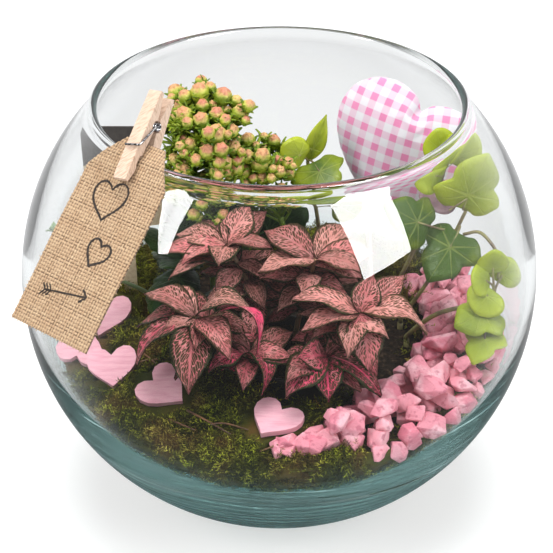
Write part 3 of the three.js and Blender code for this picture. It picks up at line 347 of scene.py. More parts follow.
def nerve_paint():
    """Net of pink veins over dark olive; tint is vein width, pinkness and painted shade."""
    paint = Paint("nerve_leaf", Roughness=0.55, Specular_IOR_Level=0.12)
    u, v = paint.uv()
    width, pinkness, shade = paint.tint()[:3]
    across = paint.sum("MULTIPLY_ADD", u, 2.0, -1.0)
    away = paint.sum("ABSOLUTE", across)
    lean = paint.sum("MULTIPLY", paint.sum("POWER", away, 0.85), 0.34)
    step = paint.sum("MULTIPLY", paint.sum("SUBTRACT", v, lean), 21.0)
    place = paint.joined(step, paint.sum("MULTIPLY", across, 3.8), paint.sum("MULTIPLY", shade, 37.0))
    edge = paint.cracks(place, Scale=1.0, Randomness=0.8)
    thick = paint.range(width, 0.0, 1.0, 0.05, 0.17, False)
    thick = paint.sum("MULTIPLY", thick, paint.range(away, 0.1, 0.9, 1.25, 0.75, False))
    net = paint.range(edge, paint.sum("MULTIPLY", thick, 0.6), paint.sum("ADD", thick, 0.06), 1.0, 0.0)
    rib = paint.range(away, 0.03, 0.1, 1.0, 0.0)
    veins = paint.sum("MAXIMUM", net, rib)
    rim = paint.range(away, 0.76, 0.93, 1.0, 0.0)
    veins = paint.sum("MULTIPLY", veins, rim)
    salmon = paint.blend(pinkness, (216, 148, 138), (226, 76, 112))
    salmon = paint.blend(paint.range(paint.noise(160.0, 3.0), 0.45, 0.65, 0.0, 0.35), salmon, (232, 178, 170))
    flesh = paint.blend(pinkness, (134, 84, 66), (88, 28, 40))
    olive = paint.blend(paint.sum("MAXIMUM", away, pinkness), (98, 70, 48), (44, 50, 26))
    islands = paint.blend(paint.range(width, 0.5, 1.0, 0.0, 0.4), olive, flesh)
    veined = paint.blend(veins, islands, salmon)
    # Painted shade: each leaf is darkened towards dark brown by its shade tint, most for leaves deep in the
    # mound
    paint.colour(paint.blend(paint.range(shade, 0.1, 0.9, 0.45, 0.0), veined, (56, 30, 26)))
    paint.bump(paint.sum("MULTIPLY", edge, -1.0), 0.0008)
    paint.rough(net, 0.45, 0.65)
    return paint.material


def leaf_paint(name, dark, light, vein, directions, back=None, net=0.25, gloss=0.3):
    """Veins run from the leaf's hub in the given directions; tint is freshness and whether the back shows."""
    paint = Paint(name, Roughness=0.42, Specular_IOR_Level=gloss)
    u, v = paint.uv()
    shade = paint.tint()[0]
    x = paint.sum("ABSOLUTE", paint.sum("MULTIPLY_ADD", u, 2.0, -1.0))
    y = paint.sum("SUBTRACT", v, HUB_SHARE)
    veins = None
    for across, along in directions:
        size = math.hypot(across, along)
        dx, dy = across / size, along / size
        off = paint.sum("SUBTRACT", paint.sum("MULTIPLY", x, dy), paint.sum("MULTIPLY", y, dx))
        off = paint.sum("ABSOLUTE", off)
        reach = paint.sum("ADD", paint.sum("MULTIPLY", x, dx), paint.sum("MULTIPLY", y, dy))
        thin = paint.range(reach, 0.0, size, 0.013, 0.004, False)
        line = paint.range(off, thin, paint.sum("MULTIPLY", thin, 2.2), 1.0, 0.0)
        line = paint.sum("MULTIPLY", line, paint.sum("GREATER_THAN", reach, 0.0))
        veins = line if veins is None else paint.sum("MAXIMUM", veins, line)
    fine = paint.range(paint.cracks(paint.joined(x, y), Scale=7.0), 0.0, 0.05, net, 0.0)
    marks = paint.sum("MAXIMUM", veins, fine)
    patches = paint.sum("MULTIPLY_ADD", shade, 0.9, -0.45)
    patches = paint.sum("MULTIPLY_ADD", paint.noise(55.0, 4.0), 0.9, patches)
    away = paint.sum("SQRT", paint.sum("MULTIPLY_ADD", x, x, paint.sum("MULTIPLY", y, y)))
    hub = paint.range(away, 0.0, 0.9, 0.45, 0.0)
    face = paint.blend(paint.sum("SUBTRACT", paint.range(patches, 0.1, 0.9), hub, clamp=True), dark, light)
    face = paint.blend(paint.sum("MULTIPLY", marks, 0.15), face, vein)
    if back:
        face = paint.blend(paint.range(paint.tint()[1], 0.4, 0.6), face, back)
    paint.colour(face)
    paint.bump(paint.sum("MULTIPLY_ADD", marks, -0.6, paint.noise(300.0, 2.0)), 0.0004)
    paint.rough(patches, 0.34, 0.5)
    return paint.material


def bud_paint():
    """tint is height up the bud, warmth of its tip and shade."""
    paint = Paint("green_bud", Roughness=0.5, Specular_IOR_Level=0.3)
    height, warmth, shade = paint.tint()[:3]
    streak = paint.noise(500.0, 2.0)
    fresh = paint.blend(shade, (72, 104, 8), (164, 178, 52))
    green = paint.blend(paint.range(height, 0.25, 0.7), fresh, (198, 194, 96))
    warm = paint.blend(warmth, (214, 180, 116), (200, 128, 104))
    warm = paint.blend(paint.range(paint.noise(700.0, 4.0), 0.5, 0.62, 0.0, 0.7), warm, (158, 104, 70))
    top = paint.range(paint.sum("MULTIPLY_ADD", streak, 0.6, height), 0.75, 1.2)
    paint.colour(paint.blend(top, green, warm))
    paint.bump(paint.noise(380.0, 4.0), 0.0016)
    paint.rough(streak, 0.42, 0.6)
    return paint.material


def gingham_paint():
    """A check woven from pink and white threads; the UV is the cloth's own flat place."""
    paint = Paint("gingham", Roughness=0.85, Sheen_Weight=0.35)
    u, v = paint.uv()
    bands = []
    threads = []
    for value in (u, v):
        turn = paint.sum("FRACT", paint.sum("MULTIPLY", value, UV_SPAN / GINGHAM_PERIOD))
        near = paint.sum("ABSOLUTE", paint.sum("SUBTRACT", turn, 0.5))
        bands.append(paint.range(near, 0.21, 0.26, 1.0, 0.0))
        threads.append(paint.sum("SINE", paint.sum("MULTIPLY", value, UV_SPAN * math.tau / THREAD)))
    both = paint.sum("MULTIPLY", *bands)
    either = paint.sum("MAXIMUM", *bands)
    weave = paint.sum("MULTIPLY", *threads)
    cloth = paint.blend(either, (248, 244, 250), (248, 216, 234))
    cloth = paint.blend(both, cloth, (248, 140, 192))
    paint.colour(paint.blend(paint.range(weave, -1.0, 1.0, 0.1, 0.0), cloth, (236, 196, 216)))
    paint.bump(weave, 0.00015)
    paint.rough(weave, 0.8, 0.92)
    return paint.material


def jute_paint():
    """Coarse yarn; tint is the yarn's own tone, which thread is on top and how deep the point lies; deep
    points get painted shade between the yarns.
    """
    paint = Paint("jute", Roughness=0.9, Sheen_Weight=0.2)
    shade, _, depth = paint.tint()[:3]
    fibre = paint.noise(900.0, 5.0)
    slub = paint.noise(120.0, 3.0)
    yarn = paint.blend(shade, (176, 144, 110), (214, 186, 150))
    yarn = paint.blend(paint.range(slub, 0.4, 0.65, 0.0, 0.35), yarn, (170, 134, 98))
    yarn = paint.blend(paint.range(fibre, 0.3, 0.7, 0.4, 0.0), yarn, (146, 110, 76))
    # Painted shade: low points between the yarns are darkened to dark brown
    paint.colour(paint.blend(paint.range(depth, 0.15, 0.85, 0.95, 0.0), yarn, (82, 58, 38)))
    paint.bump(fibre, 0.0006)
    return paint.material


def card_paint():
    """Dark band over plain board, by height on the card."""
    paint = Paint("dark_card", Roughness=0.6)
    fibre = paint.noise(500.0, 4.0)
    dark = paint.ramp(fibre, [(0.3, (50, 44, 42)), (0.7, (66, 60, 56))])
    board = paint.ramp(fibre, [(0.3, (176, 156, 128)), (0.7, (200, 182, 152))])
    above = paint.sum("GREATER_THAN", paint.split(paint.place())[2], CARD_BAND_Z * MM)
    paint.colour(paint.blend(above, board, dark))
    paint.bump(fibre, 0.0001)
    return paint.material


# Mesh building
PLAIN_TINT = (0.5, 0.5, 0.5)


def placed(name, data):
    item = bpy.data.objects.new(name, data)
    bpy.context.scene.collection.objects.link(item)
    return item


def dressed(item, slot, *nodes):
    """Fixes a piece to the body, in the place of the given nodes."""
    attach(item, BODY)
    if nodes:
        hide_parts(*nodes)
    return item


def corner_array(mesh):
    points = np.empty(len(mesh.vertices) * 3, dtype=np.float32)
    mesh.vertices.foreach_get("co", points)
    return points.reshape(-1, 3)


def set_corners(mesh, points):
    mesh.vertices.foreach_set("co", points.astype(np.float32).ravel())


def set_tints(mesh, values):
    layer = mesh.color_attributes.new("tint", "FLOAT_COLOR", "POINT")
    layer.data.foreach_set("color", values.astype(np.float32).ravel())


def repaint(name, material, edge=0.0, segments=2, sharp=0.0):
    """A node that keeps its own solid: its material, and where edge is given, edges eased by so many mm."""
    node = NODES[name]
    node.data.materials.clear()
    node.data.materials.append(material)
    if edge:
        eased = node.modifiers.new("eased", "BEVEL")
        eased.width = edge * MM
        eased.segments = segments
        eased.limit_method = "ANGLE"
        eased.angle_limit = math.radians(sharp)


class Mesh:
    """Corners in millimetres with a UV and a tint for each corner."""

    def __init__(self):
        self.points = []
        self.faces = []
        self.uvs = []
        self.tints = []

    def add(self, points, faces, uvs=None, tint=PLAIN_TINT):
        start = len(self.points)
        self.points.extend(points)
        self.faces.extend(tuple(start + i for i in face) for face in faces)
        self.uvs.extend(uvs or [(0.5, 0.5)] * len(points))
        self.tints.extend(tint if isinstance(tint, list) else [tint] * len(points))

    def build(self, name, material, slot, *nodes, shade=True):
        mesh = bpy.data.meshes.new(name)
        mesh.from_pydata([tuple(c * MM for c in p) for p in self.points], [], self.faces)
        corners = np.empty(len(mesh.loops), dtype=np.int32)
        mesh.loops.foreach_get("vertex_index", corners)
        layer = mesh.uv_layers.new(name="UVMap")
        layer.data.foreach_set("uv", np.array(self.uvs, dtype=np.float32)[corners].ravel())
        values = np.ones((len(self.tints), 4), dtype=np.float32)
        values[:, :3] = self.tints
        set_tints(mesh, values)
        mesh.shade_smooth() if shade else mesh.shade_flat()
        mesh.materials.append(material)
        return dressed(placed(name, mesh), slot, *nodes)


def face_out(item):
    made = bmesh.new()
    made.from_mesh(item.data)
    bmesh.ops.recalc_face_normals(made, faces=made.faces)
    made.to_mesh(item.data)
    made.free()


def eased_point(a, b, c, d, t):
    """A point between b and c on the smooth curve through all four."""
    return 0.5 * (2 * b + (c - a) * t + (2 * a - 5 * b + 4 * c - d) * t * t
                  + (3 * b - a - 3 * c + d) * t ** 3)


def curve(points, steps):
    """Even points along a smooth curve through the given ones."""
    line = [Vector(p) for p in points]
    ends = [line[0] * 2 - line[1], *line, line[-1] * 2 - line[-2]]
    rows = []
    for a, b, c, d in zip(ends, ends[1:], ends[2:], ends[3:]):
        rows += [eased_point(a, b, c, d, i / 8) for i in range(8)]
    rows.append(line[-1])
    lengths = [0.0]
    for a, b in zip(rows, rows[1:]):
        lengths.append(lengths[-1] + (b - a).length)
    even = []
    for i in range(steps + 1):
        target = lengths[-1] * i / steps
        k = max(0, min(len(rows) - 2, next((j for j, x in enumerate(lengths) if x >= target), 1) - 1))
        span = lengths[k + 1] - lengths[k]
        even.append(rows[k].lerp(rows[k + 1], (target - lengths[k]) / span if span else 0.0))
    return even


def ring_faces(rings, sides, first=0):
    """Faces between rings of points that follow each other."""
    faces = []
    for row in range(rings):
        for k in range(sides):
            a, b = first + row * sides + k, first + row * sides + (k + 1) % sides
            faces.append((a, b, b + sides, a + sides))
    return faces


def slab_faces(rows, width):
    """Faces of a slab made of an upper and a lower sheet, each of rows + 1 lines of that many points."""
    under = (rows + 1) * width
    faces = []
    for i in range(rows):
        for j in range(width - 1):
            a = i * width + j
            b = under + a
            faces += [(a, a + 1, a + width + 1, a + width), (b, b + width, b + width + 1, b + 1)]
        for j in (0, width - 1):
            a = i * width + j
            wall = (a, a + width, under + a + width, under + a)
            faces.append(wall if j == 0 else wall[::-1])
    for i in (0, rows):
        for a in range(i * width, i * width + width - 1):
            wall = (a, under + a, under + a + 1, a + 1)
            faces.append(wall if i == 0 else wall[::-1])
    return faces


def tube(mesh, rows, start, end, sides=7, tint=PLAIN_TINT):
    """A round bar along points, thinning from start to end."""
    last = len(rows) - 1
    points = []
    side = None
    for i, centre in enumerate(rows):
        along = (rows[min(i + 1, last)] - rows[max(i - 1, 0)]).normalized()
        if side is None:
            side = Vector((1, 0, 0)) if abs(along.z) > 0.9 else UP.copy()
        side = (side - along * side.dot(along)).normalized()
        second = along.cross(side)
        radius = mix(start, end, i / last)
        for k in range(sides):
            angle = math.tau * k / sides
            points.append(centre + side * radius * math.cos(angle) + second * radius * math.sin(angle))
    faces = ring_faces(last, sides)
    faces.append(tuple(reversed(range(sides))))
    faces.append(tuple(last * sides + k for k in range(sides)))
    mesh.add(points, faces, tint=tint)


def nearest_on(rows, target):
    best = rows[0]
    for a, b in zip(rows, rows[1:]):
        span = b - a
        share = rounded((target - a).dot(span) / max(span.length_squared, 1e-9))
        close = a + span * share
        if (close - target).length < (best - target).length:
            best = close
    return best


def leaf_axes(foot, tip, face):
    along = (tip - foot).normalized()
    across = along.cross(Vector(face)).normalized()
    return along, across, across.cross(along).normalized()


def blade(mesh, foot, tip, width, arch, fold, face, tint, rows=14, half=5, thick=0.45, teeth=0.0, wave=0.05,
          phase=0.0):
    """A pointed leaf: quilted halves that rise from an arched midrib."""
    along, across, normal = leaf_axes(foot, tip, face)
    length = (tip - foot).length
    sides = []
    uvs = []
    for level in (0.5, -0.5):
        for i in range(rows + 1):
            t = i / rows
            spread = max(0.35, width / 2 * math.sin(math.pi * t ** 0.85))
            middle = foot + along * length * t + normal * length * arch * 4 * t * (1 - t)
            for j in range(-half, half + 1):
                s = j / half
                notch = 1 - teeth * (i % 2) * abs(s) ** 4
                reach = spread * s * notch
                lift = abs(reach) * fold * (1 - 0.3 * abs(s))
                lift += wave * width * s * s * math.sin(phase + 9 * t + 2.5 * s)
                lift += 0.012 * width * math.sin(26 * (t - 0.34 * abs(s))) * (1 - s * s) * (abs(s) > 0.1)
                sides.append(middle + across * reach + normal * (lift + level * thick))
                uvs.append((0.5 + 0.5 * s, t))
    mesh.add(sides, slab_faces(rows, 2 * half + 1), uvs, tint)


# Right halves of leaf outlines as (share of length, share of half width), from the stalk to the tip
IVY_HALF = [(0.0, 0.2), (-0.05, 0.46), (0.02, 0.72), (0.12, 0.86), (0.2, 0.99), (0.31, 0.92), (0.4, 0.76),
            (0.47, 0.62), (0.57, 0.64), (0.7, 0.58), (0.82, 0.4), (0.93, 0.18)]
ROUND_HALF = [(0.0, 0.22), (0.02, 0.6), (0.14, 0.86), (0.34, 1.0), (0.56, 0.96), (0.76, 0.74), (0.92, 0.4)]
SCALLOP_HALF = [(0.0, 0.16), (0.04, 0.42), (0.14, 0.66), (0.24, 0.8), (0.36, 1.0), (0.44, 0.9), (0.56, 0.94),
                (0.66, 0.8), (0.76, 0.78), (0.85, 0.56), (0.93, 0.44)]
LOBED_DROOP = 0.14
LOBED_WAVE = 0.06


def lobed(mesh, foot, tip, width, half, face, tint, phase, thick=0.45):
    """A lobed leaf: rings about its hub out to a smooth outline, drooping and waving at its edge."""
    along, across, normal = leaf_axes(foot, tip, face)
    length = (tip - foot).length
    outline = [*half, (1.0, 0.0), *[(t, -s) for t, s in reversed(half)]]
    flat = [Vector((s, t, 0)) for t, s in outline]
    closed = [*flat[-2:], *flat, *flat[:2]]
    ring = []
    for a, b, c, d in zip(closed[1:], closed[2:], closed[3:], closed[4:]):
        ring += [eased_point(a, b, c, d, i / 3) for i in range(3)]
    count = len(ring)
    steps = (0.16, 0.36, 0.58, 0.8, 1.0)
    points = []
    uvs = []
    for level in (0.5, -0.5):
        points.append(foot + along * length * HUB_SHARE + normal * level * thick)
        uvs.append((0.5, HUB_SHARE))
        for step in steps:
            for k, edge in enumerate(ring):
                s, t = edge.x * step, HUB_SHARE + (edge.y - HUB_SHARE) * step
                flat_place = along * length * t + across * width / 2 * s
                away = (along * length * (t - HUB_SHARE) + across * width / 2 * s).length
                lift = -LOBED_DROOP * away * step ** 0.7
                lift += LOBED_WAVE * away * step * step * math.sin(phase + 3 * math.tau * k / count)
                points.append(foot + flat_place + normal * (lift + level * thick))
                uvs.append((0.5 + 0.5 * s, t))
    under = 1 + len(steps) * count
    faces = []
    for k in range(count):
        n = (k + 1) % count
        faces.append((0, 1 + k, 1 + n))
        faces.append((under, under + 1 + n, under + 1 + k))
        for row in range(len(steps) - 1):
            a, b = 1 + row * count + k, 1 + row * count + n
            faces.append((a, a + count, b + count, b))
            faces.append((under + a, under + b, under + b + count, under + a + count))
        a, b = 1 + (len(steps) - 1) * count + k, 1 + (len(steps) - 1) * count + n
        faces.append((a, under + a, under + b, b))
    mesh.add(points, faces, uvs, tint)


def root(mesh, place, soil_z, tint=PLAIN_TINT):
    x, y = place
    rows = [Vector((x, y, soil_z + 3 - (ROOT_DEPTH + 3) * i / 3)) for i in range(4)]
    tube(mesh, rows, ROOT_RADIUS * 0.9, ROOT_RADIUS * 0.8, 8, tint)


def stem(mesh, place, soil_z, path, start, end, sides=7, tint=PLAIN_TINT, steps=16):
    """A stem on its root, from start to end thick; gives the points along it."""
    root(mesh, place, soil_z, tint)
    rows = curve([(*place, soil_z + 1), (*place, soil_z + 5), *path], steps)
    tube(mesh, rows, start, end, sides, tint)
    return rows


# Glass bowl
# Radius and height of the foot's underside, from its middle out to the wall
FOOT_PROFILE = [(0.0, 0.0), (30.0, 0.0), (44.0, 0.0), (48.5, 0.5)]
FOOT_TOP_Z = 2.2


def glass_bowl():
    profile = list(FOOT_PROFILE)
    low = math.asin((FOOT_TOP_Z - BOWL_CENTRE_Z) / BOWL_RADIUS)
    high = math.asin((BEAD_TOP_Z - 5 - BOWL_CENTRE_Z) / BOWL_RADIUS)
    for i in range(61):
        profile.append(on_circle((0, BOWL_CENTRE_Z), BOWL_RADIUS, mix(low, high, i / 60)))
    for i in range(17):
        angle = math.radians(mix(-20, 200, i / 16))
        profile.append(on_circle((BEAD_RING_RADIUS, BEAD_TOP_Z - BEAD_RADIUS), BEAD_RADIUS, angle))
    high = math.asin((BEAD_TOP_Z - 4.4 - BOWL_CENTRE_Z) / INNER_RADIUS)
    for i in range(37):
        z = BOWL_CENTRE_Z + INNER_RADIUS * math.sin(high * (1 - i / 36))
        profile.append((inner_radius(z) + RIM_THINNING * smooth(z, BEAD_TOP_Z - 74, BEAD_TOP_Z - 4), z))
    for i in range(1, 29):
        angle = math.pi / 2 * i / 28
        profile.append((INNER_RADIUS * math.cos(angle), BOWL_CENTRE_Z - INNER_DEPTH * math.sin(angle)))
    return turned(profile, BOWL_SIDES)


def turned(profile, segments, centre=(0, 0)):
    """A closed body of revolution whose profile starts and ends on its axis."""
    mesh = Mesh()
    inner = profile[1:-1]
    points = [(centre[0], centre[1], profile[0][1]), (centre[0], centre[1], profile[-1][1])]
    for radius, z in inner:
        points += [(*on_circle(centre, radius, math.tau * k / segments), z) for k in range(segments)]
    faces = []
    for k in range(segments):
        n = (k + 1) % segments
        faces.append((0, 2 + n, 2 + k))
        faces.append((1, 2 + (len(inner) - 1) * segments + k, 2 + (len(inner) - 1) * segments + n))
        for row in range(len(inner) - 1):
            a, b = 2 + row * segments + k, 2 + row * segments + n
            faces.append((a, b, b + segments, a + segments))
    mesh.add(points, faces)
    return mesh


glass_bowl().build("bowl_glass", glass_paint(), "clear_glass", "bowl")

# Soil and pot
repaint("potting_soil", soil_paint("bowl_soil"))


def nursery_pot():
    top, bottom = POT_TOP_RADIUS, POT_BOTTOM_RADIUS
    inside, floor_z = top - POT_WALL, POT_BOTTOM_Z + POT_WALL
    profile = [(0, POT_BOTTOM_Z), (bottom - 1, POT_BOTTOM_Z), (bottom, POT_BOTTOM_Z + 1)]
    lip = [(top - 1.3, 7.2), (top - 0.2, 6), (top, 5.6), (top, 0.5), (top - 0.3, 0.1), (top - 0.9, 0.1),
           (inside, 0.6), (inside - 1.2, 8)]
    profile += [(radius, POT_TOP_Z - drop) for radius, drop in lip]
    profile += [(bottom - POT_WALL, floor_z), (0, floor_z)]
    return turned(profile, POT_SIDES, POT_CENTRE)


PLASTIC_TONES = [(0.35, (14, 14, 15)), (0.7, (34, 32, 31))]
plastic = plain_paint("black_plastic", 120.0, 4.0, PLASTIC_TONES, 0.0002, (0.35, 0.6), Roughness=0.5,
                      Specular_IOR_Level=0.3)
nursery_pot().build("pot_shell", plastic, "black_plastic", "nursery_pot")


CRUMBS = 420
CRUMB_SPREAD = 22.4
# Faces of a lump with one corner each way on every axis
LUMP_FACES = [(0, 2, 4), (2, 1, 4), (1, 3, 4), (3, 0, 4), (2, 0, 5), (1, 2, 5), (3, 1, 5), (0, 3, 5)]


def soil_crumbs():
    """Loose crumbs on the pot's soil."""
    pick = random.Random(SEEDS["crumbs"])
    mesh = Mesh()
    for _ in range(CRUMBS):
        angle, reach = pick.uniform(0, math.tau), CRUMB_SPREAD * math.sqrt(pick.random())
        size = pick.uniform(0.5, 1.5)
        centre = Vector((*on_circle(POT_CENTRE, reach, angle), POT_SOIL_Z + size * 0.4))
        corners = []
        for axis in range(3):
            for sign in (-1, 1):
                corner = Vector((0, 0, 0))
                corner[axis] = sign * size * pick.uniform(0.6, 1.2)
                corners.append(centre + corner)
        mesh.add(corners, LUMP_FACES)
    return mesh


crumb_soil = soil_paint("pot_soil_crumbs")
repaint("pot_soil", crumb_soil)
soil_crumbs().build("soil_crumbs", crumb_soil, "soil", shade=False)


# Plants: each has its root's place, its stem's points, then its leaves or buds.
# A nerve leaf has foot, tip and width, then arch, facing and tint where they aren't the usual
FITTONIA = {
    "fittonia_shoot_1": ((-6, -26), [(-14, -22, 118), (-25, -14, 137)], [
        ((-25, -14, 137), (-14, 2, 151), 16, 0.05, (-0.3, -0.7, 0.6)),
        ((-24, -14, 137), (-6, 5, 146), 12, 0.08, (0, -0.6, 0.8)),
        ((-25, -15, 137), (-3, -27, 142), 13, 0.14),
        ((-26, -14, 137), (-50, -6, 138), 13, 0.14, (0, -0.4, 0.9)),
        ((-26, -15, 137), (-46, -26, 133), 13, 0.16), ((-25, -15, 136), (-28, -37, 139), 14, 0.12),
        ((-25, -14, 135), (-38, 2, 142), 12, 0.12, (0, -0.6, 0.8)), ((-20, -18, 127), (-42, -4, 121), 15),
        ((-19, -18, 127), (-4, -2, 124), 14), ((-25, -15, 134), (-56, -13, 132), 13, 0.16, (0, -0.4, 0.9)),
        ((-24, -17, 129), (-53, -26, 124), 13, 0.2),
    ]),
    "fittonia_shoot_2": ((8, -28), [(12, -30, 118), (17, -34, 141)], [
        ((17, -34, 140), (-7, -14, 145), 16, 0.16, (0, -0.4, 0.9)),
        ((16, -35, 140), (-10, -40, 137), 16, 0.12),
        ((18, -33, 141), (33, -12, 148), 16, 0.06, (-0.1, -0.6, 0.7)),
        ((18, -35, 140), (38, -44, 138), 14, 0.18),
        ((17, -34, 140), (45, -24, 138), 14, 0.12, (0, -0.5, 0.8)), ((17, -33, 139), (14, -10, 136), 14),
        ((15, -32, 128), (38, -16, 122), 15), ((14, -32, 128), (-3, -15, 116), 15),
    ]),
    "fittonia_shoot_3": ((16, -42), [(27, -50, 112), (37, -57, 125)], [
        ((36, -57, 125), (6, -55, 132), 17, 0.14),
        ((37, -56, 125), (43, -48, 141), 13, 0.04, (0, -0.9, 0.3)),
        ((38, -56, 125), (58, -38, 134), 14, 0.04, (0.2, -0.7, 0.6)),
        ((38, -58, 125), (68, -60, 117), 16, 0.24), ((36, -58, 124), (10, -69, 124), 14, 0.12),
        ((38, -59, 124), (40, -80, 110), 16, 0.14), ((32, -53, 117), (62, -36, 113), 16, 0.2),
        ((30, -52, 114), (44, -72, 102), 15, 0.16),
    ]),
    "fittonia_shoot_4": ((-12, -40), [(-26, -46, 106), (-39, -52, 120)], [
        ((-38, -52, 120), (-10, -58, 124), 14, 0.34), ((-40, -52, 119), (-66, -60, 101), 14, 0.2),
        ((-40, -50, 120), (-64, -34, 121), 15, 0.16), ((-38, -54, 119), (-41, -80, 98), 18, 0.16),
        ((-41, -50, 119), (-67, -42, 108), 12, 0.14), ((-37, -53, 119), (-22, -76, 114), 14, 0.16),
        ((-31, -48, 112), (-48, -24, 106), 15), ((-26, -46, 106), (-48, -66, 96), 13),
        ((-27, -56, 126), (-10, -75, 116), 9, 0.42, (0.5, 0.2, 0.8), (0.9, 1.0, 1.0)),
        ((-38, -50, 119), (-60, -26, 116), 14, 0.2),
    ]),
    "fittonia_shoot_5": ((-3, -50), [(-10, -60, 100), (-16, -64, 108)], [
        ((-16, -64, 108), (-8, -82, 99), 11, 0.4, (0.6, 0, 0.8)),
        ((-17, -63, 108), (-32, -72, 104), 13, 0.2), ((-14, -62, 106), (3, -70, 108), 14, 0.12),
        ((-9, -58, 100), (-27, -60, 97), 14),
    ]),
    "fittonia_shoot_6": ((8, -54), [(13, -60, 98), (22, -64, 107)], [
        ((22, -64, 107), (3, -85, 99), 18, 0.14),
        ((22, -63, 108), (8, -77, 115), 14, 0.12, (-0.3, -0.7, 0.6)),
        ((23, -64, 107), (46, -78, 95), 14, 0.18), ((21, -64, 106), (22, -86, 98), 14, 0.18),
        ((18, -62, 103), (40, -52, 98), 14, 0.16),
    ]),
}
# A bud has centre and radius; after the buds come the middles of tufts of long bracts
KALANCHOE = {
    "kalanchoe_head_1": ((-33, 38), [(-34, 36, 130), (-34, 28, 178)], [
        (-50, 37, 193, 3.8), (-38, 26, 198, 4.3), (-27, 24, 197, 4.1), (-19, 19, 191, 4),
        (-45, 18, 190, 4.1), (-37, 13, 190, 3.8), (-30, 8, 185, 4.8), (-23, 12, 185, 3.4),
        (-42, 8, 180, 3.2), (-33, 6, 176, 4), (-22, 10, 177, 3.6), (-53, 26, 183, 3.4), (-36, 40, 193, 3.8),
        (-47, 29, 189, 3.8), (-30, 17, 191, 3.6), (-34, 4, 178, 3.8), (-26, 6, 171, 3.6),
        (-50, 8, 172, 3.0), (-45, 5, 168, 3.0), (-30, 3, 168, 3.4), (-42, 8, 174, 3.2),
    ], [
        (-50, 11, 178), (-52, 9, 172), (-44, 20, 190), (-30, 19, 188), (-47, 12, 184), (-38, 10, 180),
        (-50, 14, 186),
    ]),
    "kalanchoe_head_2": ((-12, 36), [(-9, 36, 120), (-8, 30, 154)], [
        (-17, 12, 163, 3.6), (-15, 26, 173, 3.4), (-9, 12, 168, 5), (-1, 16, 166, 3.4), (4, 16, 160, 3.2),
        (-3, 30, 170, 3.4), (-14, 36, 166, 3.2), (-20, 8, 167, 3.4), (-8, 9, 173, 3.8), (-15, 11, 172, 3.2),
        (0, 9, 165, 3.0), (4, 12, 168, 2.8),
    ], [(-12, 16, 162), (-20, 10, 163)]),
    "kalanchoe_head_3": ((-34, 22), [(-34, 16, 110), (-35, 11, 142)], [
        (-31, 4, 154, 3.9), (-41, 0, 146, 3), (-27, 0, 146, 3), (-48, 12, 152, 3), (-42, 16, 158, 3.2),
        (-32, 1, 159, 3.4), (-37, 0, 152, 3.0), (-24, 4, 156, 3.2), (-52, 8, 160, 2.8),
    ], [(-45, 6, 156), (-52, 8, 164)]),
    "kalanchoe_head_4": ((2, 26), [(4, 20, 110), (1, 14, 138)], [
        (-15, 12, 150, 2.8), (-1, 8, 152, 3.4), (7, 9, 149, 3.2), (-13, 5, 156, 3.0), (1, 7, 156, 3.0),
    ], []),
}
# A kalanchoe leaf has foot, tip and width, then facing where it isn't level
KALANCHOE_LEAVES = {
    "kalanchoe_leaves_1": ((-44, 18), [(-45, 16, 96), (-46, 14, 112)], [
        ((-46, 13, 108), (-60, -24, 105), 26), ((-46, 15, 112), (-68, 36, 120), 20),
        ((-45, 17, 104), (-62, 54, 102), 26), ((-46, 14, 112), (-52, -12, 124), 22),
        ((-46, 18, 116), (-52, 26, 142), 24, (0, -0.9, 0.4)),
    ]),
    "kalanchoe_leaves_2": ((-18, 12), [(-18, 12, 96), (-16, 20, 122)], [
        ((-17, 14, 108), (10, 2, 112), 22), ((-18, 22, 122), (-24, 26, 148), 22, (0, -0.9, 0.4)),
        ((-13, 22, 120), (14, 26, 136), 24, (0, -0.9, 0.4)), ((-17, 8, 100), (-40, -12, 98), 24),
    ]),
}
# An ivy leaf has foot, tip, width and how fresh and lime it is, then facing where it isn't level
IVY_VINES = {
    "ivy_vine_1": ((62, 4), [(74, 2, 104), (84, -2, 132), (91, -2, 152)], [
        ((87, -5, 151), (97, -9, 182), 35, 0.85, (0.1, -0.85, 0.4)),
        ((72, -10, 143), (51, -16, 161), 30, 0.4, (0, -0.7, 0.7)),
        ((87, -10, 141), (71, -24, 122), 33, 0.28, (-0.1, -0.6, 0.8)),
    ]),
    "ivy_vine_2": ((56, 16), [(66, 14, 112), (74, 8, 142), (79, 6, 170)], [
        ((78, 2, 165), (64, -4, 174), 20, 0.8, (0, -0.8, 0.5)),
        ((86, 8, 152), (68, 4, 156), 20, 0.5, (0, -0.6, 0.8)),
        ((82, 4, 172), (91, 2, 188), 20, 0.95, (0, -0.8, 0.5)),
        ((78, 6, 174), (74, 4, 190), 17, 0.9, (0.2, -0.8, 0.5)),
    ]),
    "ivy_vine_3": ((64, -10), [(77, -15, 97), (91, -23, 108), (103, -27, 118)], [
        ((103, -31, 113), (83, -40, 108), 26, 0.72, (0, -0.5, 0.8)),
        ((100, -36, 104), (90, -52, 97), 22, 0.95),
        ((102, -25, 127), (101, -28, 141), 15, 0.9, (0, -0.8, 0.5)),
        ((101, -27, 124), (91, -32, 130), 16, 1.0, (0, -0.7, 0.6)),
        ((101, -30, 122), (93, -37, 113), 18, 0.95, (0, -0.6, 0.8)),
        ((105, -24, 122), (112, -20, 133), 16, 0.9, (-0.2, -0.8, 0.5)),
    ]),
    "ivy_vine_4": ((24, 46), [(20, 40, 120), (16, 32, 148), (14, 30, 160)], [
        ((13, 25, 164), (2, 20, 174), 16, 0.9, (0, -0.8, 0.5)),
        ((17, 26, 162), (26, 14, 150), 30, 0.6, (0, -0.5, 0.8)),
        ((18, 31, 164), (23, 33, 184), 10, 0.75, (0, -0.9, 0.2)),
        ((26, 36, 132), (41, 25, 139), 18, 0.55, (0, -0.8, 0.5)),
    ]),
}
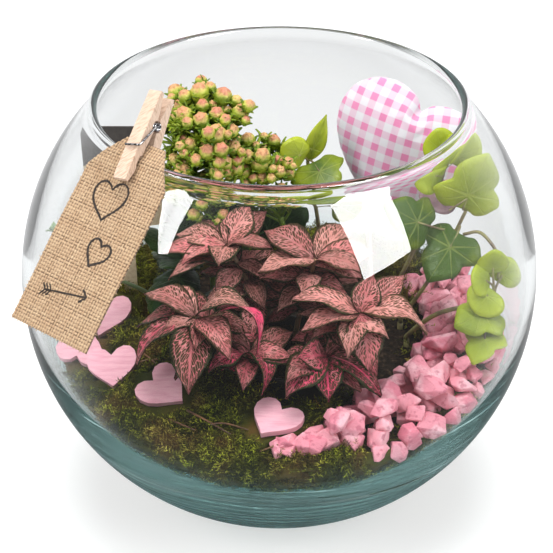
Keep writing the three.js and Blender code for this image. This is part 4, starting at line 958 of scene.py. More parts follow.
# Vine and number of the leaf that shows its mauve back, and of the one small pointed leaf
MAUVE_LEAF = ("ivy_vine_2", 1)
POINTED_LEAF = ("ivy_vine_4", 2)
RUNNER = [(89, -8, 139), (97, -12, 142), (105, -20, 134), (105, -24, 124)]
FERN_ROOT = (-63, 10)
FERN_PATH = [(-66, 8, 94), (-94, -6, 120), (-109, -17, 148)]

# Front shoots with hot pink veins
HOT_SHOOTS = {"fittonia_shoot_5", "fittonia_shoot_6"}
EXTRA_LEAVES = 15
HOT_EXTRA_LEAVES = 5
LEAF_GROWTH = 1.14
# Arch, facing and tint of a nerve leaf that doesn't give its own
USUAL = (0.12, LEVEL, None)
# Turn from each leaf on a stem to the next
LEAF_TURN = 2.4


def nerve_plant():
    pick = random.Random(SEEDS["nerve"])
    paint = nerve_paint()
    stalk = stem_paint("nerve_stem", (98, 84, 52), (150, 110, 84))
    stems = Mesh()
    for name, (place, path, leaves) in FITTONIA.items():
        mesh = Mesh()
        rows = stem(stems, place, POT_SOIL_Z, path, 1.4, 1.0)
        hot = name in HOT_SHOOTS
        for foot, tip, size, *own in leaves:
            foot, tip = Vector(foot), Vector(tip)
            arch, face, own_tint = [*own, *USUAL[len(own):]]
            start = nearest_on(rows, foot)
            if (start - foot).length < 2.5:
                foot = start
            else:
                tube(stems, [start, foot.lerp(tip, 0.06)], 0.7, 0.6, 6)
            low = smooth(tip.z, 118, 100)
            pinkness = rounded(pick.uniform(0.0, 0.35) + 0.4 * low + 0.5 * hot)
            width = rounded(pick.uniform(0.35, 0.85) - 0.35 * low - 0.3 * hot)
            # The third tint value is painted shade: lower values darken the leaf
            tint = (width, pinkness, pick.uniform(0.35, 1.0))
            blade(mesh, foot, tip, size * LEAF_GROWTH, arch, 0.2, face, own_tint or tint, rows=18, half=6,
                  teeth=0.04, wave=0.07, phase=pick.uniform(0, 6))
        turn = pick.uniform(0, math.tau)
        top = rows[-1].z
        for number in range(HOT_EXTRA_LEAVES if hot else EXTRA_LEAVES):
            foot = rows[len(rows) - 2 - round(number * 0.75)]
            turn += LEAF_TURN
            reach = pick.uniform(17, 27)
            tip = foot + Vector((*on_circle((0, 0), reach, turn), pick.uniform(-7, 5)))
            low = smooth(tip.z, 118, 98)
            pinkness = rounded(pick.uniform(0.05, 0.4) + 0.45 * low)
            # Extra leaves fill the mound and take darker painted shade
            tint = (rounded(pick.uniform(0.25, 0.7) - 0.3 * low), pinkness, pick.uniform(0.0, 0.7))
            face = (0.35 * math.cos(turn), 0.35 * math.sin(turn) - 0.2, 1)
            if tip.z > 96 and foot.z < top:
                blade(mesh, foot, tip, reach * pick.uniform(0.5, 0.62), 0.14, 0.2, face, tint, rows=16,
                      teeth=0.04, wave=0.08, phase=pick.uniform(0, 6))
        mesh.build(name + "_leaves", paint, "nerve_plant", name)
    stems.build("nerve_stems", stalk, "nerve_plant")


BUD_SIDES = 12
SEPALS = 5
# Height and reach of a bud's rings, as shares of its radius
BUD_RINGS = [(-0.8, 0.35), (-0.55, 0.72), (-0.15, 0.95), (0.25, 1.0), (0.6, 0.86), (0.9, 0.6), (1.1, 0.32)]
# Bracts round a bud's stalk and in a tuft
STALK_BRACTS = 8
TUFT_BRACTS = 22


def opened_bud(mesh, centre, out, radius, pick):
    """A plump closed bud of wrapped petals in a cup of pointed sepals."""
    side = out.orthogonal().normalized()
    side = Matrix.Rotation(pick.uniform(0, 6), 3, out) @ side
    second = out.cross(side)
    warmth, shade = pick.random(), pick.uniform(0.2, 1.0)
    points = [centre - out * radius * 0.9]
    tints = [(0.0, warmth, shade)]
    for height, reach in BUD_RINGS:
        for k in range(BUD_SIDES):
            angle = math.tau * k / BUD_SIDES + 0.5 * height
            lobe = 1 + 0.2 * math.cos(5 * angle) * smooth(height, -0.2, 0.9)
            place = side * math.cos(angle) + second * math.sin(angle)
            points.append(centre + out * radius * height + place * radius * reach * lobe * 0.88)
            tints.append((rounded(height / 1.1), warmth, shade))
    points.append(centre + out * radius * 1.12)
    tints.append((1.0, warmth, shade))
    top = 1 + (len(BUD_RINGS) - 1) * BUD_SIDES
    faces = ring_faces(len(BUD_RINGS) - 1, BUD_SIDES, 1)
    for k in range(BUD_SIDES):
        n = (k + 1) % BUD_SIDES
        faces += [(0, 1 + n, 1 + k), (top + k, top + n, len(points) - 1)]
    mesh.add(points, faces, tint=tints)
    for k in range(SEPALS):
        angle = math.tau * k / SEPALS
        away = side * math.cos(angle) + second * math.sin(angle)
        foot = centre + away * radius * 0.5 - out * radius * 0.75
        tip = centre + away * radius * 1.32 + out * radius * pick.uniform(0.1, 0.6)
        tint = (0.0, 0.0, pick.uniform(0.0, 0.35))
        blade(mesh, foot, tip, radius * 0.75, 0.12, 0.3, out - away * 0.4, tint, rows=4, half=1, thick=0.35,
              wave=0.0)


def bract(mesh, at, way, length, arch, shade, rows):
    """One long thin bract."""
    tint = (0.0, 0.0, shade)
    blade(mesh, at, at + way * length, 1.7, arch, 0.3, LEVEL, tint, rows=rows, half=1, thick=0.4, wave=0.0)


def kalanchoe_heads():
    pick = random.Random(SEEDS["buds"])
    paint = bud_paint()
    green = (0.0, 0.0, 0.15)
    for name, (place, path, spots, tufts) in KALANCHOE.items():
        mesh = Mesh()
        rows = stem(mesh, place, SOIL_TOP_Z, path, 1.7, 1.4, 9, green)
        buds = [(Vector((x, y, z)), radius) for x, y, z, radius in spots]
        for centre, radius in list(buds):
            for _ in range(3 if len(spots) > 10 else 1):
                away = Vector((pick.gauss(0, 1), pick.gauss(0, 0.8), pick.gauss(-0.3, 0.5))).normalized()
                size = radius * pick.uniform(0.55, 0.8)
                spot = centre + away * (radius + size) * 0.95
                if all((spot - other).length > (size + reach) * 0.72 for other, reach in buds):
                    buds.append((spot, size))
        for centre, radius in buds:
            start = nearest_on(rows, centre - UP * 16)
            out = ((centre - start).normalized() + UP).normalized()
            foot = centre - out * radius * 0.7
            bend = start.lerp(foot, 0.5) + (foot - start).cross(UP).normalized() * pick.uniform(-0.8, 0.8)
            tube(mesh, curve([start, bend, foot], 6), 0.8, 0.65, 6, green)
            opened_bud(mesh, centre, out, radius * 1.22, pick)
            for _ in range(STALK_BRACTS):
                side = Vector((pick.gauss(0, 1), pick.gauss(0, 1), pick.uniform(0.1, 0.9))).normalized()
                at = start.lerp(foot, pick.uniform(0.55, 0.98))
                shade = pick.uniform(0.0, 0.5)
                bract(mesh, at, (side + out * 0.6).normalized(), pick.uniform(5, 9.5), 0.12, shade, 4)
        for middle in map(Vector, tufts):
            heart = nearest_on(rows, middle - UP * 10)
            tube(mesh, [heart, middle], 0.7, 0.5, 6, green)
            for _ in range(TUFT_BRACTS):
                way = Vector((pick.gauss(0, 1), pick.gauss(0, 1), pick.gauss(0.5, 0.7)))
                way = (way.normalized() + (middle - heart).normalized() * 0.5).normalized()
                at = middle - way * pick.uniform(0, 2)
                bract(mesh, at, way, pick.uniform(6, 10), 0.1, pick.uniform(0.1, 0.8), 5)
        mesh.build(name + "_buds", paint, "green_bud", name)


def kalanchoe_leaves():
    pick = random.Random(SEEDS["leaves"])
    paint = leaf_paint("kalanchoe_leaf", (16, 36, 8), (52, 82, 20), (84, 112, 56),
                       [(0.0, 0.7), (0.6, 0.5), (0.9, 0.25), (0.8, 0.0)], net=0.1, gloss=0.08)
    for name, (place, path, leaves) in KALANCHOE_LEAVES.items():
        mesh = Mesh()
        rows = stem(mesh, place, SOIL_TOP_Z, path, 1.8, 1.5, 9)
        for foot, tip, width, *own in leaves:
            foot, tip = Vector(foot), Vector(tip)
            start = nearest_on(rows, foot)
            tube(mesh, [start, foot.lerp(tip, HUB_SHARE)], 0.9, 0.6, 6)
            tint = (pick.uniform(0.2, 0.7), 0.0, 0.5)
            face = own[0] if own else LEVEL
            lobed(mesh, foot, tip, width, SCALLOP_HALF, face, tint, pick.uniform(0, 6), thick=0.8)
        mesh.build(name + "_look", paint, "dark_leaf", name)


def ivy():
    pick = random.Random(SEEDS["ivy"])
    paint = leaf_paint("ivy_leaf", (58, 84, 10), (166, 178, 36), (214, 218, 120),
                       [(0.0, 0.7), (0.56, 0.44), (1.0, 0.02), (0.74, -0.28)], (142, 112, 118))
    stalk = stem_paint("ivy_stem", (104, 84, 62), (150, 146, 84))
    stems = Mesh()
    for name, (place, path, leaves) in IVY_VINES.items():
        mesh = Mesh()
        rows = stem(stems, place, SOIL_TOP_Z, path, 1.2, 0.9, 8)
        for index, (foot, tip, width, fresh, *own) in enumerate(leaves):
            foot, tip = Vector(foot), Vector(tip)
            face = own[0] if own else LEVEL
            start = nearest_on(rows, foot)
            tint = (rounded(fresh + pick.uniform(-0.05, 0.05)), (name, index) == MAUVE_LEAF, 0.5)
            if (name, index) == POINTED_LEAF:
                blade(mesh, start, tip, width, 0.1, 0.25, face, tint, thick=0.5)
            else:
                half = ROUND_HALF if width < 21 else IVY_HALF
                bend = start.lerp(foot, 0.6) + UP * 0.6
                tube(stems, curve([start, bend, foot.lerp(tip, HUB_SHARE)], 5), 0.65, 0.45, 6)
                lobed(mesh, foot, tip, width, half, face, tint, index * 1.7)
        mesh.build(name + "_look", paint, "ivy_leaf", name)
    tube(stems, curve(RUNNER, 18), 0.9, 0.7, 8)
    stems.build("ivy_stems", stalk, "ivy_leaf")


def fern():
    """A cut frond: leaflets in pairs that shorten towards the tip."""
    paint = leaf_paint("fern_leaf", (62, 84, 52), (140, 164, 116), (170, 190, 140), [(0.0, 0.7)], net=0.1)
    mesh = Mesh()
    rows = stem(mesh, FERN_ROOT, SOIL_TOP_Z, FERN_PATH, 1.2, 0.6, steps=28)
    for i in range(9):
        foot = rows[14 + round(i * 1.6)]
        for side in (-1, 1):
            reach = 12.5 - i * 0.8
            tip = foot + Vector(((side - 1.4) * 0.18 * reach, side * 0.7 * reach, 0.5 * reach))
            tint = (0.3 + 0.05 * i, 0.0, 0.5)
            blade(mesh, foot, tip, 3.4, 0.05, 0.1, LEVEL, tint, rows=8, half=2, thick=0.4, teeth=0.25,
                  wave=0.0)
    mesh.build("fern_look", paint, "grey_leaf", "fern_sprig")


nerve_plant()
kalanchoe_heads()
kalanchoe_leaves()
ivy()
fern()


# Moss
WOOD_HEARTS = [(-88, 4), (-80, -40), (-54, -60), (-2, -84), (-98, -20)]
# Stones that have slid down to the glass: centre and half size
LOOSE_STONES = [((45, -98, 79), 5.6), ((53, -96, 78), 6.2), ((60, -91, 79), 5)]
# Places that fronds stay off: each heart and each loose stone
CLEARINGS = [(x, y, 14.5) for x, y in WOOD_HEARTS] + [(c[0], c[1], 7.0) for c, _ in LOOSE_STONES]
MOSS_GRID = 2.3
# Heights over which fronds grow on the wall and on the top, and over which they stay off the clearings
WALL_FROM_Z, TOP_FROM_Z, CLEAR_FROM_Z = 13, 74, 76


def moss_base():
    """The bed's own form with even small faces, roughened and set back from the glass."""
    item = placed("moss_form", NODES["moss_bed"].data.copy())
    remesh = item.modifiers.new("even", "REMESH")
    remesh.mode = "VOXEL"
    remesh.voxel_size = MOSS_GRID * MM
    view = bpy.context.evaluated_depsgraph_get()
    mesh = bpy.data.meshes.new_from_object(item.evaluated_get(view))
    bpy.data.objects.remove(item)
    points = corner_array(mesh) / MM
    normals = np.empty(len(mesh.vertices) * 3, dtype=np.float32)
    mesh.vertex_normals.foreach_get("vector", normals)
    normals = normals.reshape(-1, 3)
    for i, place in enumerate(points):
        near_heart = min(math.hypot(place[0] - x, place[1] - y) for x, y in WOOD_HEARTS)
        clump = noise.noise(Vector(place) * 0.09) * 3.2 * smooth(near_heart, 12, 18)
        rough = noise.noise(Vector(place) * 0.35) * 1.1 + clump
        radius = max(1.0, math.hypot(place[0], place[1]))
        outward = (place[0] * normals[i][0] + place[1] * normals[i][1]) / radius
        back = 1.9 if outward > 0.45 and place[2] < 82 else 0.8
        points[i] = place + normals[i] * (rough - back)
    set_corners(mesh, points * MM)
    mesh.update()
    return mesh


def frond_mesh(name, starts, normals, ways, lengths, leaflets, seed, material, limit_gap):
    """Small feathery fronds: each leaflet is a thin closed sliver on its frond's line."""
    draw = np.random.default_rng(seed)
    count = len(starts)
    along = np.repeat(np.arange(leaflets) / leaflets, count).reshape(leaflets, count).T
    side = np.where(np.arange(leaflets) % 2 == 0, 1.0, -1.0)
    cross = np.cross(normals, ways)[:, None, :]
    ways, normals, lengths = ways[:, None, :], normals[:, None, :], lengths[:, None]
    bend = draw.normal(0, 0.35, (count, 1, 1))
    base = starts[:, None, :] + ways * (lengths * along)[:, :, None]
    base = base + normals * (lengths * 0.45 * along * (1.6 - along))[:, :, None]
    base = base + cross * (bend * (lengths * along ** 2)[:, :, None])
    point = ways * 0.75 + cross * side[None, :, None] * 0.85 + normals * 0.45
    point = point + draw.normal(0, 0.22, point.shape)
    point /= np.linalg.norm(point, axis=2, keepdims=True)
    reach = (2.7 - 1.3 * along) * draw.uniform(0.7, 1.3, along.shape)
    tips = base + point * reach[:, :, None]
    half = ways * 0.4
    keel = base - normals * 0.3 + point * 0.1
    corners = np.stack([base - half, base + half, keel, tips], axis=2).reshape(-1, 3)
    radius = np.hypot(corners[:, 0], corners[:, 1])
    depth = np.where(corners[:, 2] < BOWL_CENTRE_Z, INNER_DEPTH, INNER_RADIUS) - limit_gap
    share = np.clip(np.abs(corners[:, 2] - BOWL_CENTRE_Z) / depth, 0, 0.999)
    wall = (INNER_RADIUS - limit_gap) * np.sqrt(1 - share ** 2)
    scale = np.minimum(1.0, wall / np.maximum(radius, 1e-6))
    corners[:, :2] *= scale[:, None]
    total = len(corners) // 4
    first = np.arange(total) * 4
    faces = np.stack([
        np.stack([first, first + 1, first + 3], 1), np.stack([first + 1, first + 2, first + 3], 1),
        np.stack([first + 2, first, first + 3], 1), np.stack([first, first + 2, first + 1], 1),
    ], axis=1).reshape(-1, 3)
    mesh = bpy.data.meshes.new(name)
    mesh.vertices.add(len(corners))
    set_corners(mesh, corners * MM)
    mesh.loops.add(faces.size)
    mesh.loops.foreach_set("vertex_index", faces.ravel().astype(np.int32))
    mesh.polygons.add(len(faces))
    mesh.polygons.foreach_set("loop_start", np.arange(len(faces), dtype=np.int32) * 3)
    mesh.update(calc_edges=True)
    fresh = np.repeat(draw.uniform(0.0, 1.0, count) ** 1.3, leaflets).reshape(count, leaflets)
    # Partly the moss's own colour and partly painted light: fronds are dark low in the mat as painted shade
    # and lighten towards their tips, fresh growth with painted highlights; leaflet tips are lighter still
    light = np.clip(0.15 + 0.75 * along * fresh + draw.normal(0, 0.1, along.shape), 0, 1)
    values = np.ones((len(corners), 4), dtype=np.float32)
    values[:, 0] = np.repeat(light.ravel(), 4)
    values[3::4, 0] += 0.15
    values[:, 1] = np.repeat(draw.uniform(0, 1, total), 4)
    set_tints(mesh, values)
    mesh.materials.append(material)
    dressed(placed(name, mesh), "moss")


def moss():
    mesh = moss_base()
    mesh.materials.clear()
    # The ground under the fronds keeps to the dark colours, partly old growth and partly painted shade deep
    # in the mat
    mesh.materials.append(moss_paint("moss_ground", 0.35))
    mesh.shade_smooth()
    set_tints(mesh, np.tile([0.3, 0.5, 0.5, 1.0], len(mesh.vertices)))
    dressed(placed("moss_mat", mesh), "moss", "moss_bed")
    mesh.calc_loop_triangles()
    corners = np.empty(len(mesh.loop_triangles) * 3, dtype=np.int32)
    mesh.loop_triangles.foreach_get("vertices", corners)
    triangles = corner_array(mesh)[corners.reshape(-1, 3)] / MM
    spread = np.cross(triangles[:, 1] - triangles[:, 0], triangles[:, 2] - triangles[:, 0])
    area = np.linalg.norm(spread, axis=1)
    normal = spread / np.maximum(area, 1e-9)[:, None]
    centre = triangles.mean(axis=1)
    radius = np.hypot(centre[:, 0], centre[:, 1])
    outward = (centre[:, 0] * normal[:, 0] + centre[:, 1] * normal[:, 1]) / radius
    top = (normal[:, 2] > 0.35) & (centre[:, 2] > TOP_FROM_Z)
    wall = (outward > 0.3) & ~top & (centre[:, 2] > WALL_FROM_Z)
    blades = moss_paint("moss_frond", 1.0)
    draw = np.random.default_rng(SEEDS["moss"])
    plans = [
        ("moss_fronds_top", top, 6000, (4.5, 9), 0.25, 8), ("moss_fronds_tips", top, 2500, (7, 12), 0.25, 10),
        ("moss_fronds_wall", wall, 4800, (4, 8), 0.3, 8),
    ]
    for name, chosen, count, size, gap, leaflets in plans:
        weights = area[chosen] / area[chosen].sum()
        pick = draw.choice(np.flatnonzero(chosen), count, p=weights)
        a, b = np.sqrt(draw.random(count)), draw.random(count)
        t = triangles[pick]
        starts = t[:, 0] * (1 - a)[:, None] + t[:, 1] * (a * (1 - b))[:, None] + t[:, 2] * (a * b)[:, None]
        normals = normal[pick]
        ways = draw.normal(0, 1, (count, 3))
        ways[:, 2] += 0.6
        ways -= normals * (ways * normals).sum(axis=1, keepdims=True)
        ways /= np.linalg.norm(ways, axis=1, keepdims=True)
        lengths = draw.uniform(*size, count)
        clear = np.ones(count, dtype=bool)
        for share in (0.0, 0.5, 1.0):
            spots = starts + ways * (lengths * share)[:, None]
            for x, y, reach in CLEARINGS:
                away = np.hypot(spots[:, 0] - x, spots[:, 1] - y)
                clear &= (away > reach) | (spots[:, 2] < CLEAR_FROM_Z)
        kept = [rows[clear] for rows in (starts, normals, ways, lengths)]
        frond_mesh(name, *kept, leaflets, 100 + count, blades, gap)


moss()


# Fallen twigs: ends on the moss
TWIGS = [((-66, -32, 87.5), (-55, -47, 88.5)), ((-70, -38, 86), (-52, -40, 89)),
         ((-42, -79, 88), (-22, -93, 85)), ((-31, -88, 87), (-14, -91, 86)), ((-50, -82, 85), (-38, -90, 85)),
         ((4, -98, 84), (-9, -103, 83))]


def twigs():
    pick = random.Random(SEEDS["twigs"])
    mesh = Mesh()
    for start, end in TWIGS:
        start, end = Vector(start), Vector(end)
        bend = start.lerp(end, 0.5) + Vector((pick.uniform(-1.5, 1.5), pick.uniform(-1.5, 1.5), 1.2))
        tube(mesh, curve([start, bend, end], 8), 0.55, 0.35, 6)
    mesh.build("moss_twigs", stem_paint("twig", (66, 40, 22), (122, 82, 48)), "moss")


twigs()


# Gravel: angle in degrees with the inner and outer radius of its bed
GRAVEL_PLAN = [(-93, 97, 104), (-78, 88, 103), (-70, 78, 104), (-62, 72, 108), (-52, 67, 114), (-14, 70, 114),
               (34, 72, 114)]
# Each row: share of the way across, lift and spacing
STONE_ROWS = [(0.04, 1.5, 12.5), (0.34, 2.0, 12.5), (0.66, 2.0, 12.5), (0.97, 1.5, 12.5),
              (0.18, 7.0, 16), (0.5, 8.5, 14), (0.82, 7.5, 15), (0.35, 12, 26), (0.7, 12, 24)]
STONE_GAP = 0.8
STONE_CORNERS = 15
STONE_WEAR = 0.045


def gravel_edges(degrees):
    for (start, inner, outer), (end, next_inner, next_outer) in zip(GRAVEL_PLAN, GRAVEL_PLAN[1:]):
        if degrees <= end:
            share = rounded((degrees - start) / (end - start))
            return mix(inner, next_inner, share), mix(outer, next_outer, share)
    return GRAVEL_PLAN[-1][1:]


def stone(mesh, pick, centre, size):
    """A broken stone: the hull of jittered corners with narrow worn edges."""
    made = bmesh.new()
    turn = Matrix.Rotation(pick.uniform(0, math.tau), 3, "Z")
    turn = turn @ Matrix.Rotation(pick.uniform(-0.6, 0.6), 3, "X")
    for _ in range(STONE_CORNERS):
        away = Vector((pick.gauss(0, 1), pick.gauss(0, 1), pick.gauss(0, 1))).normalized()
        reach = pick.uniform(0.78, 1.12)
        made.verts.new(turn @ Vector((away.x * 1.12, away.y * 0.86, away.z * 0.7)) * size * reach)
    bmesh.ops.convex_hull(made, input=made.verts)
    bmesh.ops.delete(made, geom=[v for v in made.verts if not v.link_faces], context="VERTS")
    bmesh.ops.dissolve_limit(made, angle_limit=math.radians(22), verts=made.verts, edges=made.edges)
    bmesh.ops.bevel(made, geom=list(made.edges), offset=size * STONE_WEAR, segments=1, affect="EDGES")
    bmesh.ops.triangulate(made, faces=made.faces)
    points = []
    for vertex in made.verts:
        spot = Vector(centre) + vertex.co
        radius = math.hypot(spot.x, spot.y)
        limit = inner_radius(spot.z, STONE_GAP)
        if radius > limit:
            spot.x *= limit / radius
            spot.y *= limit / radius
        points.append(spot)
    made.verts.index_update()
    faces = [tuple(v.index for v in face.verts) for face in made.faces]
    made.free()
    mesh.add(points, faces, tint=(pick.random(), pick.random(), 0.5))


def gravel():
    pick = random.Random(SEEDS["gravel"])
    mesh = Mesh()
    for across, lift, spacing in STONE_ROWS:
        degrees = GRAVEL_PLAN[0][0] + 2 + pick.uniform(0, 4)
        while degrees < GRAVEL_PLAN[-1][0] - 3:
            inner, outer = gravel_edges(degrees)
            size = min(pick.uniform(5.4, 9.2), (outer - inner) * 0.5 + 1.6)
            radius = mix(inner + 0.6 * size, outer - 0.6 * size, across) + pick.uniform(-1.4, 1.4)
            angle = math.radians(degrees)
            height = GRAVEL_BED_Z + lift + size * 0.15 + pick.uniform(-0.6, 0.8)
            if lift < 4 or outer - inner > 20:
                stone(mesh, pick, (*on_circle((0, 0), radius, angle), height), size)
            degrees += math.degrees(spacing * pick.uniform(0.85, 1.15) / radius)
    for centre, size in LOOSE_STONES:
        stone(mesh, pick, centre, size)
    face_out(mesh.build("gravel_stones", gravel_paint(), "pink_stone", "pink_gravel", shade=False))


gravel()


# The wooden hearts and the pick keep their solids; the hearts' edges are eased
HEART_TONES = [(0.3, (222, 154, 168)), (0.5, (232, 170, 184)), (0.75, (238, 182, 192))]
heart_paint = plain_paint("painted_wood", 110.0, 4.0, HEART_TONES, 0.00025, (0.5, 0.72), (1.0, 7.0, 1.0),
                          Roughness=0.62, Specular_IOR_Level=0.3)
for number in range(1, 6):
    repaint(f"wood_heart_{number}", heart_paint, 0.45, 3, 50)
birch = wood_paint("birch", (178, 144, 120), (212, 184, 162))
repaint("cushion_pick", birch)


# Cushion
CUSHION_CENTRE = Vector((60, 38, 159))
CUSHION_FACING = Vector((-0.28, -0.93, 0.22)).normalized()
CUSHION_TURN = math.radians(-20)
CHECK_TURN = math.radians(-10)
CLOTH_STEP = 2.3
CLOTH_SCALE = 0.01
HEART_STEPS = 22
# The two cut hearts are larger than the cushion, because filling draws them in
CUT_SHARE = 1.08
BULGE = 8.5
BULGE_REACH = 24
FILL_FRAMES = 24
FILLING = {"quality": 6, "mass": 0.2, "tension_stiffness": 40, "compression_stiffness": 40,
           "shear_stiffness": 20, "bending_stiffness": 0.6, "use_pressure": True, "uniform_pressure_force": 4}


def heart_outline(size, notch, steps):
    """Even points round a heart whose tip is towards -Y."""
    half = size / 2
    right = [((0, -0.98), (0.3, -0.6), (1, -0.28), (1, 0.32)), ((1, 0.32), (1, 0.9), (0.34, 1.1), (0, notch))]
    left = [tuple((-x, y) for x, y in reversed(part)) for part in reversed(right)]
    points = []
    for part in right + left:
        for i in range(steps):
            t = i / steps
            u = 1 - t
            spot = []
            for a, b, c, d in zip(*part):
                spot.append(half * (u ** 3 * a + 3 * u * u * t * b + 3 * u * t * t * c + t ** 3 * d))
            points.append(Vector(spot))
    return points


def frame_of(centre, across, upward, facing, turn):
    matrix = Matrix((across, upward, facing)).transposed().to_4x4() @ Matrix.Rotation(turn, 4, "Z")
    matrix.translation = centre
    return matrix


def points_inside(border):
    """Rows of points inside the border, each with its distance from it."""
    half = CUSHION_SIZE * 0.6
    inside = []
    row = 0
    y = -half
    while y < half:
        x = -half + (CLOTH_STEP / 2 if row % 2 else 0)
        while x < half:
            spot = Vector((x, y))
            crossings = 0
            nearest = 1e9
            for a, b in zip(border, [*border[1:], border[0]]):
                if (a.y > y) != (b.y > y) and x < a.x + (y - a.y) / (b.y - a.y) * (b.x - a.x):
                    crossings += 1
                span = b - a
                share = rounded((spot - a).dot(span) / span.length_squared)
                nearest = min(nearest, (a + span * share - spot).length)
            if crossings % 2 and nearest > CLOTH_STEP * 0.55:
                inside.append((spot, nearest))
            x += CLOTH_STEP
        y += CLOTH_STEP * 0.866
        row += 1
    return inside


def cut_hearts():
    """Two hearts of cloth that share the corners of their edge; the UV is the flat place."""
    border = heart_outline(CUSHION_SIZE * CUT_SHARE, CUSHION_NOTCH + NOTCH_PULL, HEART_STEPS)
    inside = points_inside(border)
    edges = [(i, (i + 1) % len(border)) for i in range(len(border))]
    flat = [*border, *[spot for spot, _ in inside]]
    places, _, faces, _, _, _ = delaunay_2d_cdt(flat, edges, [], 1, 1e-4)
    made = bmesh.new()
    layer = made.loops.layers.uv.new("UVMap")
    grain = Matrix.Rotation(CHECK_TURN, 2)
    seam = [made.verts.new((p.x, p.y, 0)) for p in places[:len(border)]]
    for side in (1, -1):
        verts = list(seam)
        for place, (_, away) in zip(places[len(border):], inside):
            bulge = BULGE * (1 - (1 - min(1.0, away / BULGE_REACH)) ** 2) ** 0.6
            verts.append(made.verts.new((place.x, place.y, side * bulge)))
        for face in faces:
            corners = face if side > 0 else face[::-1]
            new = made.faces.new([verts[i] for i in corners])
            for loop, i in zip(new.loops, corners):
                spot = grain @ places[i]
                loop[layer].uv = (spot.x / UV_SPAN + 0.5, spot.y / UV_SPAN + 0.5)
    mesh = bpy.data.meshes.new("heart_cushion_cloth")
    made.to_mesh(mesh)
    made.free()
    mesh.transform(Matrix.Scale(CLOTH_SCALE, 4))
    return mesh


def fill(item):
    """Cloth simulation: pressure fills the sewn hearts, without gravity."""
    cloth = item.modifiers.new("fill", "CLOTH")
    for key, value in FILLING.items():
        setattr(cloth.settings, key, value)
    cloth.settings.effector_weights.gravity = 0
    cloth.collision_settings.use_collision = False
    cloth.point_cache.frame_end = 30
    scene = bpy.context.scene
    for number in range(1, FILL_FRAMES + 1):
        scene.frame_set(number)
    view = bpy.context.evaluated_depsgraph_get()
    filled = bpy.data.meshes.new_from_object(item.evaluated_get(view))
    item.modifiers.clear()
    item.data = filled
    scene.frame_set(1)


def cushion():
    """Two cut hearts sewn at their edge, filled by pressure, then set to the cushion's size."""
    item = placed("heart_cushion_cloth", cut_hearts())
    fill(item)
    points = corner_array(item.data)
    low, high = points.min(axis=0), points.max(axis=0)
    outline = heart_outline(CUSHION_SIZE, CUSHION_NOTCH, HEART_STEPS)
    goal_low = np.array([min(p.x for p in outline), min(p.y for p in outline), -CUSHION_THICKNESS / 2])
    goal_high = np.array([max(p.x for p in outline), max(p.y for p in outline), CUSHION_THICKNESS / 2])
    share = (points - low) / (high - low)
    set_corners(item.data, (goal_low + share * (goal_high - goal_low)) * MM)
    across = UP.cross(CUSHION_FACING).normalized()
    upward = CUSHION_FACING.cross(across)
    item.data.transform(frame_of(CUSHION_CENTRE * MM, across, upward, CUSHION_FACING, CUSHION_TURN))
    item.data.shade_smooth()
    item.data.materials.append(gingham_paint())
    fine = item.modifiers.new("fine", "SUBSURF")
    fine.levels = fine.render_levels = 1
    dressed(item, "gingham", "heart_cushion")


cushion()


# Rim frame: the bead's centre is its origin, x across, y up along the tag and z out
RIM_ANGLE = math.radians(225.5)
TAG_FACING = math.radians(226)
TAG_LEAN = math.radians(43)
TAG_TURN = math.radians(3)
PEG_TURN = math.radians(9)


def rim_matrix():
    outward = Vector((math.cos(TAG_FACING), math.sin(TAG_FACING), 0))
    along = outward * -math.sin(TAG_LEAN) + UP * math.cos(TAG_LEAN)
    out = outward * math.cos(TAG_LEAN) + UP * math.sin(TAG_LEAN)
    centre = Vector((*on_circle((0, 0), BEAD_RING_RADIUS, RIM_ANGLE), BEAD_TOP_Z - BEAD_RADIUS))
    return frame_of(centre, along.cross(out), along, out, TAG_TURN)


RIM = rim_matrix()
PEG = RIM @ Matrix.Rotation(PEG_TURN, 4, "Z")
TAG_BOTTOM_Y = TAG_TOP_Y - TAG_LENGTH
# How far the tag's back stands off the bead's middle, by its place along the tag
TAG_ROWS = [(TAG_BOTTOM_Y, 2.7), (0.6, 2.7), (3, 1.9), (TAG_TOP_Y, 0.55)]
TAG_THICKNESS = 1.2
FACE_RELIEF = 0.45
BACK_RELIEF = 0.35
TAG_COLUMNS, TAG_LINES = 134, 256


def tag_back(y):
    for (start, low), (end, high) in zip(TAG_ROWS, TAG_ROWS[1:]):
        if y <= end:
            return mix(low, high, smooth(y, start, end)) if start > 0 else low
    return TAG_ROWS[-1][1]


def tag_wave(x, y):
    """Slow waves of the cloth, away from the peg."""
    return 0.3 * math.sin(0.09 * y + 0.05 * x) * smooth(y, -4, -14)


def tag_half(y):
    """Half the tag's width at a height; its upper corners are cut."""
    across, along = TAG_CORNER
    half = TAG_WIDTH / 2
    return half - across * rounded((y - (TAG_TOP_Y - along)) / along)


